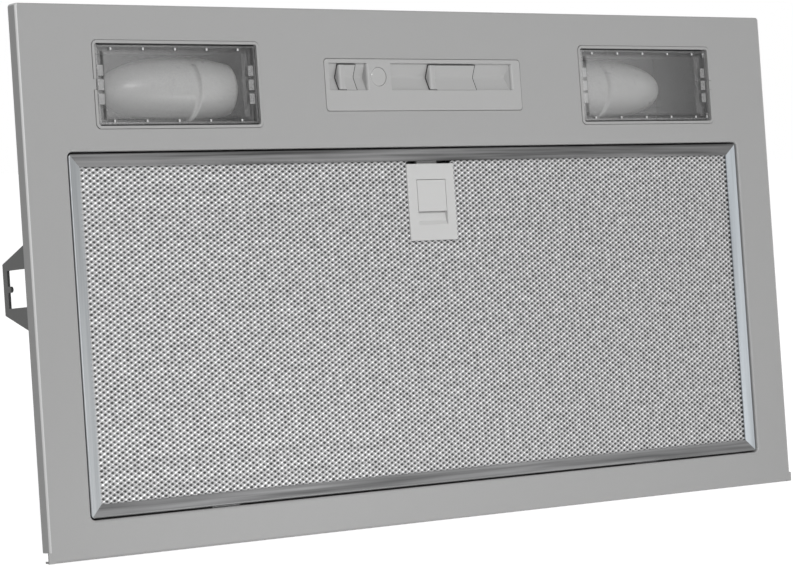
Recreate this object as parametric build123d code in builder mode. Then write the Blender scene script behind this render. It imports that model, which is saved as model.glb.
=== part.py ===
"""Built-in range hood insert: a painted steel face panel that carries two lamps, a slide control module
and a tilting grease filter, with a sheet tray, a moulded motor housing and a round duct collar behind it.

Frame: X runs along the width of the face, +Y points into the cabinet and +Z up the face, with the
controls at the top. The origin is the middle of the panel's lower edge, in the plane of the folded rim
that seats against the cabinet. All sizes are in millimetres.
"""
from build123d import *
import math
import os

os.makedirs("parts", exist_ok=True)

# ---------------------------------------------------------------- face panel
PANEL_WIDTH = 525.0
PANEL_HEIGHT = 285.5
EDGE_DEPTH = 7.0            # the edge folds back this far to the rim that seats on the cabinet
SHEET = 1.0                 # steel sheet of the panel and the tray
PANEL_CORNER = 1.8
BEND_RADIUS = 1.3
CORNER_NOTCH = 5.5          # the side edges stop this far above the lower edge
CORNER_FLARE = 0.6          # the sheet stays flat there and stands out by this much
FACE_Y = -EDGE_DEPTH        # the painted face lies this far in front of the rim
MID_Z = 141.2               # height of the ears and of the middle of the housing

# ---------------------------------------------------------------- filter opening and filter
OPENING_WIDTH = 473.6
OPENING_BOTTOM = 19.7
OPENING_TOP = 208.9
OPENING_CORNER = 3.0
OPENING_MID = (OPENING_BOTTOM + OPENING_TOP) / 2
OPENING_HEIGHT = OPENING_TOP - OPENING_BOTTOM
LIP_DEPTH = 11.0            # the opening's edge folds back into a lip
LIP_BEND = 1.2
FILTER_GAP = 0.8            # all round, between filter and lip
RAIL_WIDTH = 7.0
RAIL_CORNER = 2.5
RAIL_BEND = 0.9             # rolled outer front edge
RAIL_FRONT = 0.8            # depth of the rail's outer front edge behind the face
RAIL_DROP = 1.4             # the front flange slopes back by this much towards the mesh
RAIL_SHEET = 0.8
FILTER_BACK = 10.0
MESH_SHEET = 0.9
HOOK_SPACING = 300.0
HOOK_WIDTH = 18.0
HOOK_DEPTH = 5.5
HOOK_SHEET = 1.6
HOOK_REACH = 3.2

# ---------------------------------------------------------------- filter latch
LATCH_WIDTH = 33.2
LATCH_BOTTOM = 156.4
LATCH_TOP = 199.6
LATCH_FRONT = 2.4
LATCH_BACK = 9.6
LATCH_EDGE = 0.5
TAB_WIDTH = 20.0
TAB_BOTTOM = 172.8
TAB_TOP = 190.4
TAB_THICK = 1.1
TAB_ROOT = 5.4              # from the tab's lower edge up to its joint with the tongue
LATCH_TRAVEL = 5.0
POCKET_DEPTH = 5.7          # behind the tab
RECESS_BOTTOM = 165.3
RECESS_DEPTH = 4.8          # of the finger recess, at the tab's lower edge
RECESS_RISE = 0.8           # the recess rises by this much down to its lower ramp
RECESS_RAMP = 2.2
TONGUE_WIDTH = 14.0
TONGUE_FRONT = 5.4
TONGUE_THICK = 2.0
LATCH_GAP = 0.3
SPRING_RADIUS = 1.6
SPRING_WIRE = 0.35
SPRING_BOTTOM = 165.0
SPRING_TOP = 175.5
SPRING_TURNS = 6
SPRING_DEPTH = 7.5

# ---------------------------------------------------------------- lamps
LAMP_WIDTH = 104.8
LAMP_HEIGHT = 46.2
LAMP_X = 166.0
LAMP_Z = 243.7
LAMP_CORNER = 3.0
LAMP_WALL = 1.5
LAMP_DEPTH = 50.0
LAMP_PROUD = 0.3
LAMP_FLANGE = 4.0
WINDOW_GAP = 0.5            # by which a window of the panel is wider than what it holds
KEY_WIDTH = 5.4             # a tongue of the panel keys each lamp at its outer side
KEY_LENGTH = 1.6
BULB_DEPTH = 28.0
BULB_RADIUS = 17.5
BULB_WIDEST = 26.0          # from the holder's mouth to the widest part of the glass
BULB_FLANK_RADIUS = 62.0
BULB_FLANK_ANGLE = 22.0
BULB_NECK = 8.5
CAP_RADIUS = 6.8
CAP_LENGTH = 20.0
HOLDER_RADIUS = 15.0
HOLDER_LENGTH = 24.0
HOLDER_CHAMFER = 1.2
COVER_GAP = 0.9
COVER_FLANGE_DEPTH = 4.0    # floor of the channel between the cover's rim and its pan
COVER_WALL = 1.2
COVER_FRONT = 1.0
COVER_EDGE = 0.8
COVER_RIM = 1.0
COVER_RIM_FRONT = 0.7
COVER_HINGE_DEPTH = 1.7
COVER_PIN_RADIUS = 0.8
COVER_PIN_LENGTH = 1.7
COVER_ARM_RADIUS = 1.0
COVER_ARM_WIDTH = 4.0
PAN_INSET_X = 7.0
PAN_INSET_Z = 5.0
PEG_PITCH = 20.0            # ribs across the channel, above and below the pan
PEG_COUNT = 5
PEG_WIDTH = 1.0
PEG_LENGTH = 2.4
CLIP_PITCH = 7.5            # clip blocks in the channel, at both ends
CLIP_HEIGHT = 5.6
CLIP_LENGTH = 2.6

# ---------------------------------------------------------------- control module
BEZEL_X = -1.2
BEZEL_WIDTH = 139.0
BEZEL_BOTTOM = 229.2
BEZEL_TOP = 258.0
BEZEL_HEIGHT = BEZEL_TOP - BEZEL_BOTTOM
BEZEL_MID = (BEZEL_TOP + BEZEL_BOTTOM) / 2
BEZEL_PROUD = 0.4
BEZEL_DEPTH = 6.5
BEZEL_CORNER = 2.0
BEZEL_EDGE = 0.5
BEZEL_FLANGE = 4.0
POST_INSET_X = 3.5          # posts that carry the switch board
POST_INSET_Z = 4.0
POST_RADIUS = 2.2
GROOVE_BOTTOM = 240.6
GROOVE_TOP = 255.7
GROOVE_MID = (GROOVE_BOTTOM + GROOVE_TOP) / 2
GROOVE_LIP = 1.2            # square walls down to this depth, then two facets
GROOVE_DEPTH = 4.5          # where the facets would meet
GROOVE_CREASE = 2.5         # radius between the facets
GROOVE_LEFT = -68.0
GROOVE_RIGHT = 61.4
GROOVE_END_SLOPE = 2.0
GROOVE_END_ROUND = 1.8
BLOCK_LEFT = -42.0          # the indicator lens sits in this raised block
BLOCK_RIGHT = -25.4
LENS_X = -34.0
LENS_RADIUS = 5.3
LENS_EDGE = 0.6
LIGHT_LEFT = -61.3
LIGHT_RIGHT = -48.9
LIGHT_TRAVEL = 5.0
SPEED_LEFT = 2.0
SPEED_RIGHT = 35.8
SPEED_TRAVEL = 19.0
KNOB_RIDGE = 5.2            # raised end that the finger pushes
KNOB_RIDGE_SLOPE = 1.4
KNOB_ROUND = 1.8
KNOB_SHEET = 1.0
KNOB_GAP = 0.25
KNOB_TOP_GAP = 0.6
KNOB_RIDGE_GAP = 0.5
KNOB_BOTTOM_GAP = 0.15
STEM_AT = 3.0               # the stem's middle behind the knob's left end
STEM_LENGTH = 4.0
STEM_HEIGHT = 3.0
STEM_FRONT = 2.0
STEM_END = 14.0
SLOT_GAP = 0.3
SWITCH_FRONT = 9.0
SWITCH_BACK = 20.0
SWITCH_HEIGHT = 11.0
SWITCH_ENDS = 4.0
BOARD_SHEET = 1.6

# ---------------------------------------------------------------- tray and ears
TRAY_WIDTH = 499.0
TRAY_BOTTOM = 6.0
TRAY_TOP = 276.0
TRAY_SIDE = 27.0            # straight part of the side walls
TRAY_DEPTH = 52.0
TRAY_TAPER_X = 25.0
TRAY_TAPER_Z = 6.0
TRAY_FLANGE = 3.0
PARTITION_Z = 214.0
PARTITION_TURN = 12.0       # folded edge that stiffens it at the back
CABINET_HOLE_DEPTH = 16.0
CABINET_HOLES = (60.0, 190.0)
CABINET_HOLE_RADIUS = 2.5
EAR_SHEET = 1.5
EAR_FRONT = 9.0
EAR_TIP = 49.4
EAR_SHOULDER = 20.0
EAR_ROOT_HALF = 24.7
EAR_TIP_HALF = 13.4
EAR_WINDOW_FRONT = 20.5
EAR_WINDOW_BACK = 45.0
EAR_WINDOW_HALF = 9.9
NIB_LENGTH = 3.2
NIB_HALF = 1.65
EAR_SCREW_DEPTH = 14.5
EAR_SCREW_SPACING = 30.0
EAR_SCREW_LENGTH = 6.0

# ---------------------------------------------------------------- motor housing, duct collar
HOUSING_WIDTH = 300.0
HOUSING_HEIGHT = 244.0
HOUSING_CORNER = 28.0
HOUSING_BACK = 200.0
HOUSING_DRAFT = 1.0
HOUSING_WALL = 2.2
HOUSING_EDGE = 10.0
FLANGE_SIDE = 14.0
FLANGE_ENDS = 6.0
FLANGE_SHEET = 2.5
GUSSET_SHEET = 2.0
GUSSET_FOOT = 12.0
GUSSET_HEIGHT = 32.0
DISH_RADIUS = 50.0          # raised dish over the motor
DISH_RISE = 2.0
DISH_TAPER = 30.0
HOUSING_SCREWS = 4          # down each side
HOUSING_SCREW_PITCH = 64.0
HOUSING_SCREW_LENGTH = 4.0
COLLAR_X = 64.0
COLLAR_Z = 180.0
COLLAR_RADIUS = 60.0
COLLAR_WALL = 2.0
COLLAR_LENGTH = 28.0
COLLAR_FLANGE_RADIUS = 69.0
COLLAR_SCREW_CIRCLE = 64.6
COLLAR_FLANGE = 3.0
FLAP_DEPTH = 211.0
FLAP_SHEET = 1.2
FLAP_GAP = 1.2
FLAP_EDGE = 3.8             # straight edge of a flap, from the pin's line
FLAP_WEB = 5.0
FLAP_PIN_RADIUS = 1.5
FLAP_PIN_SHORT = 0.5        # each end of the pin stays this far inside the collar
PIN_CLEARANCE = 0.05
KNUCKLE_RADIUS = 3.0
KNUCKLE_LENGTH = 18.0
KNUCKLE_PITCH = 22.0
KNUCKLES = 4                # taken in turn by the two flaps

# ---------------------------------------------------------------- blower
FAN_X = -52.0
FAN_Z = 138.0
FAN_RADIUS = 72.0
FAN_INNER = 58.0
FAN_FRONT = 62.5
FAN_BACK = 122.0
BLADES = 34
BLADE_SHEET = 1.3
BLADE_SWEEP = 7.0           # degrees that a blade's tip leads its root
BLADE_CAMBER = 2.6
WHEEL_RING = 2.5            # ring round the blades' front ends
WHEEL_PLATE = 2.0           # plate that carries the blades at the back
HUB_RADIUS = 12.0
HUB_LENGTH = 18.0
HUB_TAPER = 8.0
INLET_THROAT = 54.0
INLET_CURL = 12.0
INLET_NECK = 4.0
INLET_SHEET = 1.5
INLET_FLANGE_RADIUS = 74.0
GUARD_SHEET = 2.0
GUARD_HUB = 8.0
GUARD_RINGS = (21.0, 36.0, 51.0, 68.0)
GUARD_BAR = 2.4
GUARD_SPOKES = 6
SHAFT_RADIUS = 4.0
SHAFT_TIP = 2.0
NUT_RADIUS = 7.5
NUT_LENGTH = 6.0
MOTOR_RADIUS = 42.0
MOTOR_FRONT = 128.0
MOTOR_BACK = 184.0
MOTOR_BOSS = 12.0
MOTOR_CROWN = 2.0
MOTOR_EDGE = 6.0
LUG_CIRCLE = 50.0
LUG_RADIUS = 7.0
LUG_BACK = 172.0
LUG_SHEET = 4.0
GROMMET_LENGTH = 8.0
GROMMET_RADIUS = 6.5
BRACKET_SHEET = 2.0
BRACKET_RING = 28.0
BRACKET_HOLE = 16.0
BRACKET_POST_CIRCLE = 25.0
BRACKET_POST = 4.0
SCROLL_WALL = 2.0
SCROLL_CLEARANCE = 6.0
SCROLL_CORNER = 60.0
SCROLL_CAP_ANGLE = 110.0
SCROLL_START_ANGLE = 80.0
SCROLL_START = 79.0
SCROLL_ARCS = ((82.0, 100.0), (90.0, 90.0))     # radius and angle of each arc of the spiral

# ---------------------------------------------------------------- mains terminals
BOX_X = 195.0
BOX_Z = 222.0
BOX_WIDTH = 50.0
BOX_HEIGHT = 66.0
BOX_CORNER = 4.0
BOX_DEPTH = 30.0
BOX_WALL = 2.0
TERMINAL_WIDTH = 40.0
TERMINAL_HEIGHT = 16.0
TERMINAL_DEPTH = 12.0
TERMINAL_PITCH = 12.0
TERMINAL_HOLE = 3.0
GLAND_BORE = 4.2
GLAND_NUT = 11.5
GLAND_NUT_LENGTH = 5.0
GLAND_TIP = 9.0
GLAND_TAPER = 8.0
GLAND_LENGTH = 12.0
GLAND_SPIGOT = 8.0
GLAND_SPIGOT_LENGTH = 5.0
CAPACITOR_RADIUS = 12.5
CAPACITOR_X = 92.0
CAPACITOR_LENGTH = 40.0
CAPACITOR_BOTTOM = 228.0
CAPACITOR_EDGE = 1.5

# ---------------------------------------------------------------- fixings
SCREW_RADIUS = 2.0
SCREW_HOLE = 2.1
SCREW_HEAD_RADIUS = 3.8
SCREW_HEAD_TAPER = 0.7
SCREW_HEAD = 2.4


def facing(depth):
    """Plane parallel to the face at a depth behind it, seen from the front: X to the right, Z up."""
    return Plane.XZ.offset(-(FACE_Y + depth))


def across(x):
    """Plane square to the width at x: its first axis is +Y, its second +Z."""
    return Plane.YZ.offset(x)


def at(depth, z):
    """Point of an across() sketch from a depth behind the face and a height."""
    return (FACE_Y + depth, z)


def finish(builder, name):
    """Label a finished piece and write it."""
    builder.part.label = name
    export_step(builder.part, f"parts/{name}.step")


def blower_axis(x, z):
    """Line along Y through a point of the face plane."""
    return Axis((x, 0, z), (0, 1, 0))


# ================================================================ face panel
KEY_X = LAMP_X + (LAMP_WIDTH + WINDOW_GAP - KEY_LENGTH) / 2

with BuildPart() as face_panel:
    with BuildSketch(facing(0)):
        with Locations((0, PANEL_HEIGHT / 2)):
            RectangleRounded(PANEL_WIDTH, PANEL_HEIGHT, PANEL_CORNER)
    extrude(amount=-EDGE_DEPTH)
    fillet(face_panel.faces().sort_by(Axis.Y)[0].edges(), radius=BEND_RADIUS)
    offset(amount=-SHEET, openings=face_panel.faces().sort_by(Axis.Y)[-1])
    with BuildSketch(facing(BEND_RADIUS)):      # the side edges stop short of the lower corners
        with Locations((0, CORNER_NOTCH / 2)):
            with GridLocations(PANEL_WIDTH, 1, 2, 1):
                Rectangle(2 * BEND_RADIUS, CORNER_NOTCH)
    extrude(amount=-EDGE_DEPTH, mode=Mode.SUBTRACT)
    with BuildSketch(facing(0)):                # and the corners of the sheet stay flat
        with Locations((0, CORNER_NOTCH / 2)):
            with GridLocations(PANEL_WIDTH - 2 * BEND_RADIUS, 1, 2, 1):
                Rectangle(2 * (BEND_RADIUS + CORNER_FLARE), CORNER_NOTCH)
    extrude(amount=-SHEET)
    with BuildSketch(facing(SHEET / 2)):        # folded lip round the filter opening
        with Locations((0, OPENING_MID)):
            RectangleRounded(OPENING_WIDTH + 2 * SHEET, OPENING_HEIGHT + 2 * SHEET, OPENING_CORNER + SHEET)
    extrude(amount=-(LIP_DEPTH - SHEET / 2))
    with BuildSketch(facing(0)):
        with Locations((0, OPENING_MID)):
            RectangleRounded(OPENING_WIDTH, OPENING_HEIGHT, OPENING_CORNER)
    extrude(amount=-LIP_DEPTH, mode=Mode.SUBTRACT)
    fillet(face_panel.faces().sort_by(Axis.Y)[0].inner_wires()[0].edges(), radius=LIP_BEND)
    with BuildSketch(facing(0)):                # windows of the lamps and of the control module
        with Locations((-LAMP_X, LAMP_Z), (LAMP_X, LAMP_Z)):
            RectangleRounded(LAMP_WIDTH + WINDOW_GAP, LAMP_HEIGHT + WINDOW_GAP, LAMP_CORNER)
        with Locations((BEZEL_X, BEZEL_MID)):
            RectangleRounded(BEZEL_WIDTH + WINDOW_GAP, BEZEL_HEIGHT + WINDOW_GAP, BEZEL_CORNER)
        with Locations((-KEY_X, LAMP_Z), (KEY_X, LAMP_Z)):
            Rectangle(KEY_LENGTH, KEY_WIDTH, mode=Mode.SUBTRACT)
    extrude(amount=-SHEET, mode=Mode.SUBTRACT)
    with BuildSketch(Plane.XY.offset(OPENING_TOP - SHEET)):     # slot for the latch tongue
        with Locations((0, FACE_Y + TONGUE_FRONT + TONGUE_THICK / 2)):
            Rectangle(TONGUE_WIDTH + 2 * SHEET, TONGUE_THICK + SHEET)
    extrude(amount=3 * SHEET, mode=Mode.SUBTRACT)
    with BuildSketch(Plane.XY.offset(OPENING_BOTTOM - 2 * SHEET)):      # slots for the filter's hooks
        with Locations((0, FACE_Y + HOOK_DEPTH + HOOK_SHEET / 2)):
            with GridLocations(HOOK_SPACING, 1, 2, 1):
                Rectangle(HOOK_WIDTH + 4 * SHEET, HOOK_SHEET + 4 * SHEET)
    extrude(amount=3 * SHEET, mode=Mode.SUBTRACT)
finish(face_panel, "face_panel")

# ================================================================ tray behind the panel
TRAY_MID = (TRAY_BOTTOM + TRAY_TOP) / 2
TRAY_HEIGHT = TRAY_TOP - TRAY_BOTTOM
INLET_HOLE = INLET_THROAT + INLET_CURL
HOUSING_SCREW_X = HOUSING_WIDTH / 2 + FLANGE_SIDE / 2


def housing_screw_places():
    """Places of the housing's screws, four down each side."""
    return GridLocations(2 * HOUSING_SCREW_X, HOUSING_SCREW_PITCH, 2, HOUSING_SCREWS)


with BuildPart() as body_tray:
    with BuildSketch(facing(SHEET)):
        with Locations((0, TRAY_MID)):
            Rectangle(TRAY_WIDTH, TRAY_HEIGHT)
    extrude(amount=-(TRAY_SIDE - SHEET))
    with BuildSketch(facing(TRAY_SIDE)):
        with Locations((0, TRAY_MID)):
            Rectangle(TRAY_WIDTH, TRAY_HEIGHT)
    with BuildSketch(facing(TRAY_DEPTH)):
        with Locations((0, TRAY_MID)):
            Rectangle(TRAY_WIDTH - 2 * TRAY_TAPER_X, TRAY_HEIGHT - 2 * TRAY_TAPER_Z)
    loft()
    offset(amount=-SHEET, openings=body_tray.faces().sort_by(Axis.Y)[0])
    with BuildSketch(facing(SHEET)):            # flange spot welded to the back of the panel
        with Locations((0, TRAY_MID)):
            Rectangle(TRAY_WIDTH + 2 * TRAY_FLANGE, TRAY_HEIGHT + 2 * TRAY_FLANGE)
            Rectangle(TRAY_WIDTH - 2 * SHEET, TRAY_HEIGHT - 2 * SHEET, mode=Mode.SUBTRACT)
    extrude(amount=-SHEET)
    with BuildSketch(facing(TRAY_DEPTH - 2 * SHEET)):
        with Locations((FAN_X, FAN_Z)):
            Circle(INLET_HOLE)
        with Locations((0, MID_Z)):
            with housing_screw_places():
                Circle(SCREW_HOLE)
    extrude(amount=-3 * SHEET, mode=Mode.SUBTRACT)
    with BuildSketch(Plane.YZ.offset(-TRAY_WIDTH)):             # screw holes through both side walls
        with Locations(*[at(CABINET_HOLE_DEPTH, z) for z in CABINET_HOLES]):
            Circle(CABINET_HOLE_RADIUS)
        with Locations(at(EAR_SCREW_DEPTH, MID_Z)):
            with GridLocations(1, EAR_SCREW_SPACING, 1, 2):
                Circle(SCREW_HOLE)
    extrude(amount=2 * TRAY_WIDTH, mode=Mode.SUBTRACT)
finish(body_tray, "body_tray")

with BuildPart() as partition:
    with BuildSketch(across(-TRAY_WIDTH / 2 + SHEET)):
        with BuildLine():
            Polyline(
                at(2 * SHEET, PARTITION_Z),
                at(TRAY_DEPTH - SHEET, PARTITION_Z),
                at(TRAY_DEPTH - SHEET, PARTITION_Z + PARTITION_TURN),
                at(TRAY_DEPTH - 2 * SHEET, PARTITION_Z + PARTITION_TURN),
                at(TRAY_DEPTH - 2 * SHEET, PARTITION_Z + SHEET),
                at(2 * SHEET, PARTITION_Z + SHEET),
                close=True,
            )
        make_face()
    extrude(amount=TRAY_WIDTH - 2 * SHEET)
    with BuildSketch(Plane.XY.offset(PARTITION_Z)):             # ends follow the tray's tapered sides
        with BuildLine():
            Polyline(
                (-TRAY_WIDTH / 2 + SHEET, FACE_Y),
                (TRAY_WIDTH / 2 - SHEET, FACE_Y),
                (TRAY_WIDTH / 2 - SHEET, FACE_Y + TRAY_SIDE - SHEET),
                (TRAY_WIDTH / 2 - TRAY_TAPER_X - 2 * SHEET, FACE_Y + TRAY_DEPTH - SHEET),
                (-TRAY_WIDTH / 2 + TRAY_TAPER_X + 2 * SHEET, FACE_Y + TRAY_DEPTH - SHEET),
                (-TRAY_WIDTH / 2 + SHEET, FACE_Y + TRAY_SIDE - SHEET),
                close=True,
            )
        make_face()
    extrude(amount=PARTITION_TURN, mode=Mode.INTERSECT)
finish(partition, "partition")


def make_ear(name, side):
    """Stamped ear on the tray's side wall: a trapezoid plate with a window and a small round nib."""
    inner = side * TRAY_WIDTH / 2
    with BuildPart() as ear:
        with BuildSketch(across(inner)):
            with BuildLine():
                Polyline(
                    at(EAR_FRONT, MID_Z - EAR_ROOT_HALF),
                    at(EAR_SHOULDER, MID_Z - EAR_ROOT_HALF),
                    at(EAR_TIP, MID_Z - EAR_TIP_HALF),
                    at(EAR_TIP, MID_Z + EAR_TIP_HALF),
                    at(EAR_SHOULDER, MID_Z + EAR_ROOT_HALF),
                    at(EAR_FRONT, MID_Z + EAR_ROOT_HALF),
                    close=True,
                )
            make_face()
            with BuildLine():
                Polyline(
                    at(EAR_WINDOW_BACK, MID_Z + NIB_HALF),
                    at(EAR_WINDOW_BACK, MID_Z + EAR_WINDOW_HALF),
                    at(EAR_WINDOW_FRONT, MID_Z + EAR_WINDOW_HALF),
                    at(EAR_WINDOW_FRONT, MID_Z - EAR_WINDOW_HALF),
                    at(EAR_WINDOW_BACK, MID_Z - EAR_WINDOW_HALF),
                    at(EAR_WINDOW_BACK, MID_Z - NIB_HALF),
                    at(EAR_WINDOW_BACK - NIB_LENGTH + NIB_HALF, MID_Z - NIB_HALF),
                )
                ThreePointArc(
                    at(EAR_WINDOW_BACK - NIB_LENGTH + NIB_HALF, MID_Z - NIB_HALF),
                    at(EAR_WINDOW_BACK - NIB_LENGTH, MID_Z),
                    at(EAR_WINDOW_BACK - NIB_LENGTH + NIB_HALF, MID_Z + NIB_HALF),
                )
                Line(
                    at(EAR_WINDOW_BACK - NIB_LENGTH + NIB_HALF, MID_Z + NIB_HALF),
                    at(EAR_WINDOW_BACK, MID_Z + NIB_HALF),
                )
            make_face(mode=Mode.SUBTRACT)
            with Locations(at(EAR_SCREW_DEPTH, MID_Z)):
                with GridLocations(1, EAR_SCREW_SPACING, 1, 2):
                    Circle(SCREW_HOLE, mode=Mode.SUBTRACT)
        extrude(amount=side * EAR_SHEET)
    finish(ear, name)


make_ear("side_ear_left", -1)
make_ear("side_ear_right", 1)


def screw(place, direction, length):
    """Pan head screw: its head's underside at place, its shank running along direction."""
    base = Plane(origin=place, z_dir=direction)
    with Locations(base):
        Cylinder(SCREW_RADIUS, length, align=(Align.CENTER, Align.CENTER, Align.MIN))
        with Locations((0, 0, 0)):
            Cone(
                SCREW_HEAD_RADIUS * SCREW_HEAD_TAPER,
                SCREW_HEAD_RADIUS,
                SCREW_HEAD,
                align=(Align.CENTER, Align.CENTER, Align.MAX),
            )


with BuildPart() as ear_screws:
    for side in (-1, 1):
        for step in (-0.5, 0.5):
            head = (
                side * (TRAY_WIDTH / 2 + EAR_SHEET),
                FACE_Y + EAR_SCREW_DEPTH,
                MID_Z + step * EAR_SCREW_SPACING,
            )
            screw(head, (-side, 0, 0), EAR_SCREW_LENGTH)
finish(ear_screws, "ear_screws")

# ================================================================ blower inlet
with BuildPart() as inlet_ring:
    with BuildSketch(Plane.XY.offset(FAN_Z)):
        front = FACE_Y + TRAY_DEPTH - SHEET - INLET_SHEET
        with BuildLine():
            curl_end = (FAN_X + INLET_THROAT, front + INLET_CURL)
            ThreePointArc(
                (FAN_X + INLET_HOLE, front),
                (
                    FAN_X + INLET_HOLE - INLET_CURL * math.sin(math.radians(45)),
                    front + INLET_CURL * (1 - math.cos(math.radians(45))),
                ),
                curl_end,
            )
            Polyline(
                curl_end,
                (FAN_X + INLET_THROAT, front + INLET_CURL + INLET_NECK),
                (FAN_X + INLET_THROAT + INLET_SHEET, front + INLET_CURL + INLET_NECK),
                (FAN_X + INLET_THROAT + INLET_SHEET, front + INLET_CURL),
            )
            inner_curl = INLET_CURL - INLET_SHEET
            ThreePointArc(
                (FAN_X + INLET_THROAT + INLET_SHEET, front + INLET_CURL),
                (
                    FAN_X + INLET_HOLE - inner_curl * math.sin(math.radians(45)),
                    front + INLET_CURL - inner_curl * math.cos(math.radians(45)),
                ),
                (FAN_X + INLET_HOLE, front + INLET_SHEET),
            )
            Polyline(
                (FAN_X + INLET_HOLE, front + INLET_SHEET),
                (FAN_X + INLET_FLANGE_RADIUS, front + INLET_SHEET),
                (FAN_X + INLET_FLANGE_RADIUS, front),
                (FAN_X + INLET_HOLE, front),
            )
        make_face()
    revolve(axis=blower_axis(FAN_X, FAN_Z))
finish(inlet_ring, "inlet_ring")

with BuildPart() as inlet_guard:
    with BuildSketch(facing(TRAY_DEPTH - SHEET - INLET_SHEET - GUARD_SHEET)):
        with Locations((FAN_X, FAN_Z)):
            Circle(GUARD_HUB)
            with PolarLocations(GUARD_RINGS[-1] / 2, GUARD_SPOKES):
                Rectangle(GUARD_RINGS[-1], GUARD_BAR)
            for ring in GUARD_RINGS:
                with BuildSketch(mode=Mode.PRIVATE) as hoop:
                    Circle(ring + GUARD_BAR / 2)
                    Circle(ring - GUARD_BAR / 2, mode=Mode.SUBTRACT)
                add(hoop.sketch)
    extrude(amount=-GUARD_SHEET)
finish(inlet_guard, "inlet_guard")

# ================================================================ impeller
with BuildPart() as impeller:
    with BuildSketch(facing(FAN_FRONT + WHEEL_RING / 2)):
        with Locations((FAN_X, FAN_Z)):
            with PolarLocations(0, BLADES):
                with BuildSketch(mode=Mode.PRIVATE) as blade:
                    root = Vector(FAN_INNER, 0)
                    tip = Vector(FAN_RADIUS - 0.5, 0).rotate(Axis.Z, BLADE_SWEEP)
                    middle = (root + tip) * 0.5 + Vector(0, -BLADE_CAMBER)
                    with BuildLine():
                        ThreePointArc(root, middle, tip)
                        Line(tip, tip + Vector(0, BLADE_SHEET))
                        ThreePointArc(
                            tip + Vector(0, BLADE_SHEET),
                            middle + Vector(0, BLADE_SHEET),
                            root + Vector(0, BLADE_SHEET),
                        )
                        Line(root + Vector(0, BLADE_SHEET), root)
                    make_face()
                add(blade.sketch)
    extrude(amount=-(FAN_BACK - FAN_FRONT - (WHEEL_RING + WHEEL_PLATE) / 2))
    with BuildSketch(facing(FAN_FRONT)):
        with Locations((FAN_X, FAN_Z)):
            Circle(FAN_RADIUS)
            Circle(FAN_INNER + 1, mode=Mode.SUBTRACT)
    extrude(amount=-WHEEL_RING)
    with BuildSketch(facing(FAN_BACK - WHEEL_PLATE)):
        with Locations((FAN_X, FAN_Z)):
            Circle(FAN_RADIUS)
    extrude(amount=-WHEEL_PLATE)
    with BuildSketch(facing(FAN_BACK - HUB_LENGTH)):
        with Locations((FAN_X, FAN_Z)):
            Circle(HUB_RADIUS)
    extrude(amount=-HUB_LENGTH, taper=-HUB_TAPER)
    with BuildSketch(facing(FAN_FRONT)):
        with Locations((FAN_X, FAN_Z)):
            Circle(SHAFT_RADIUS)
    extrude(amount=-(FAN_BACK - FAN_FRONT + SHEET), mode=Mode.SUBTRACT)
finish(impeller, "impeller")

NUT_FRONT = FAN_BACK - HUB_LENGTH - NUT_LENGTH
with BuildPart() as motor_shaft:
    with BuildSketch(facing(NUT_FRONT - SHAFT_TIP)):
        with Locations((FAN_X, FAN_Z)):
            Circle(SHAFT_RADIUS)
    extrude(amount=-(MOTOR_BACK - 2 * MOTOR_CROWN - NUT_FRONT + SHAFT_TIP))
finish(motor_shaft, "motor_shaft")

with BuildPart() as impeller_nut:
    with BuildSketch(facing(NUT_FRONT)):
        with Locations((FAN_X, FAN_Z)):
            RegularPolygon(NUT_RADIUS, 6)
            Circle(SHAFT_RADIUS, mode=Mode.SUBTRACT)
    extrude(amount=-NUT_LENGTH)
finish(impeller_nut, "impeller_nut")

# ================================================================ motor
with BuildPart() as motor_body:
    with BuildSketch(Plane.XY.offset(FAN_Z)):
        bore = FAN_X + SHAFT_RADIUS + PIN_CLEARANCE
        boss = FAN_X + MOTOR_BOSS
        rim = FAN_X + MOTOR_RADIUS
        front = FACE_Y + MOTOR_FRONT
        back = FACE_Y + MOTOR_BACK
        with BuildLine():
            Polyline(
                (bore, front),
                (boss, front),
                (boss + MOTOR_CROWN, front + MOTOR_EDGE),
                (rim - MOTOR_EDGE, front + MOTOR_EDGE + MOTOR_CROWN),
                (rim, front + 2 * MOTOR_EDGE + MOTOR_CROWN),
                (rim, back - 2 * MOTOR_EDGE),
                (rim - MOTOR_EDGE, back - MOTOR_EDGE),
                (boss + MOTOR_CROWN, back - 2 * MOTOR_CROWN),
                (boss, back),
                (bore, back),
                close=True,
            )
        make_face()
    revolve(axis=blower_axis(FAN_X, FAN_Z))
    with BuildSketch(facing(LUG_BACK)):         # three lugs in line with the bracket's arms
        with Locations((FAN_X, FAN_Z)):
            with PolarLocations(LUG_CIRCLE, 3, start_angle=90):
                Circle(LUG_RADIUS)
            with PolarLocations(LUG_CIRCLE - LUG_RADIUS, 3, start_angle=90):
                Rectangle(2 * LUG_RADIUS, 2 * LUG_RADIUS)
            with PolarLocations(LUG_CIRCLE, 3, start_angle=90):
                Circle(SCREW_HOLE, mode=Mode.SUBTRACT)
    extrude(amount=LUG_SHEET)
finish(motor_body, "motor_body")

with BuildPart() as motor_grommets:
    with BuildSketch(facing(LUG_BACK)):
        with Locations((FAN_X, FAN_Z)):
            with PolarLocations(LUG_CIRCLE, 3, start_angle=90):
                Circle(GROMMET_RADIUS)
                Circle(SCREW_HOLE, mode=Mode.SUBTRACT)
    extrude(amount=-GROMMET_LENGTH)
finish(motor_grommets, "motor_grommets")

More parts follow.
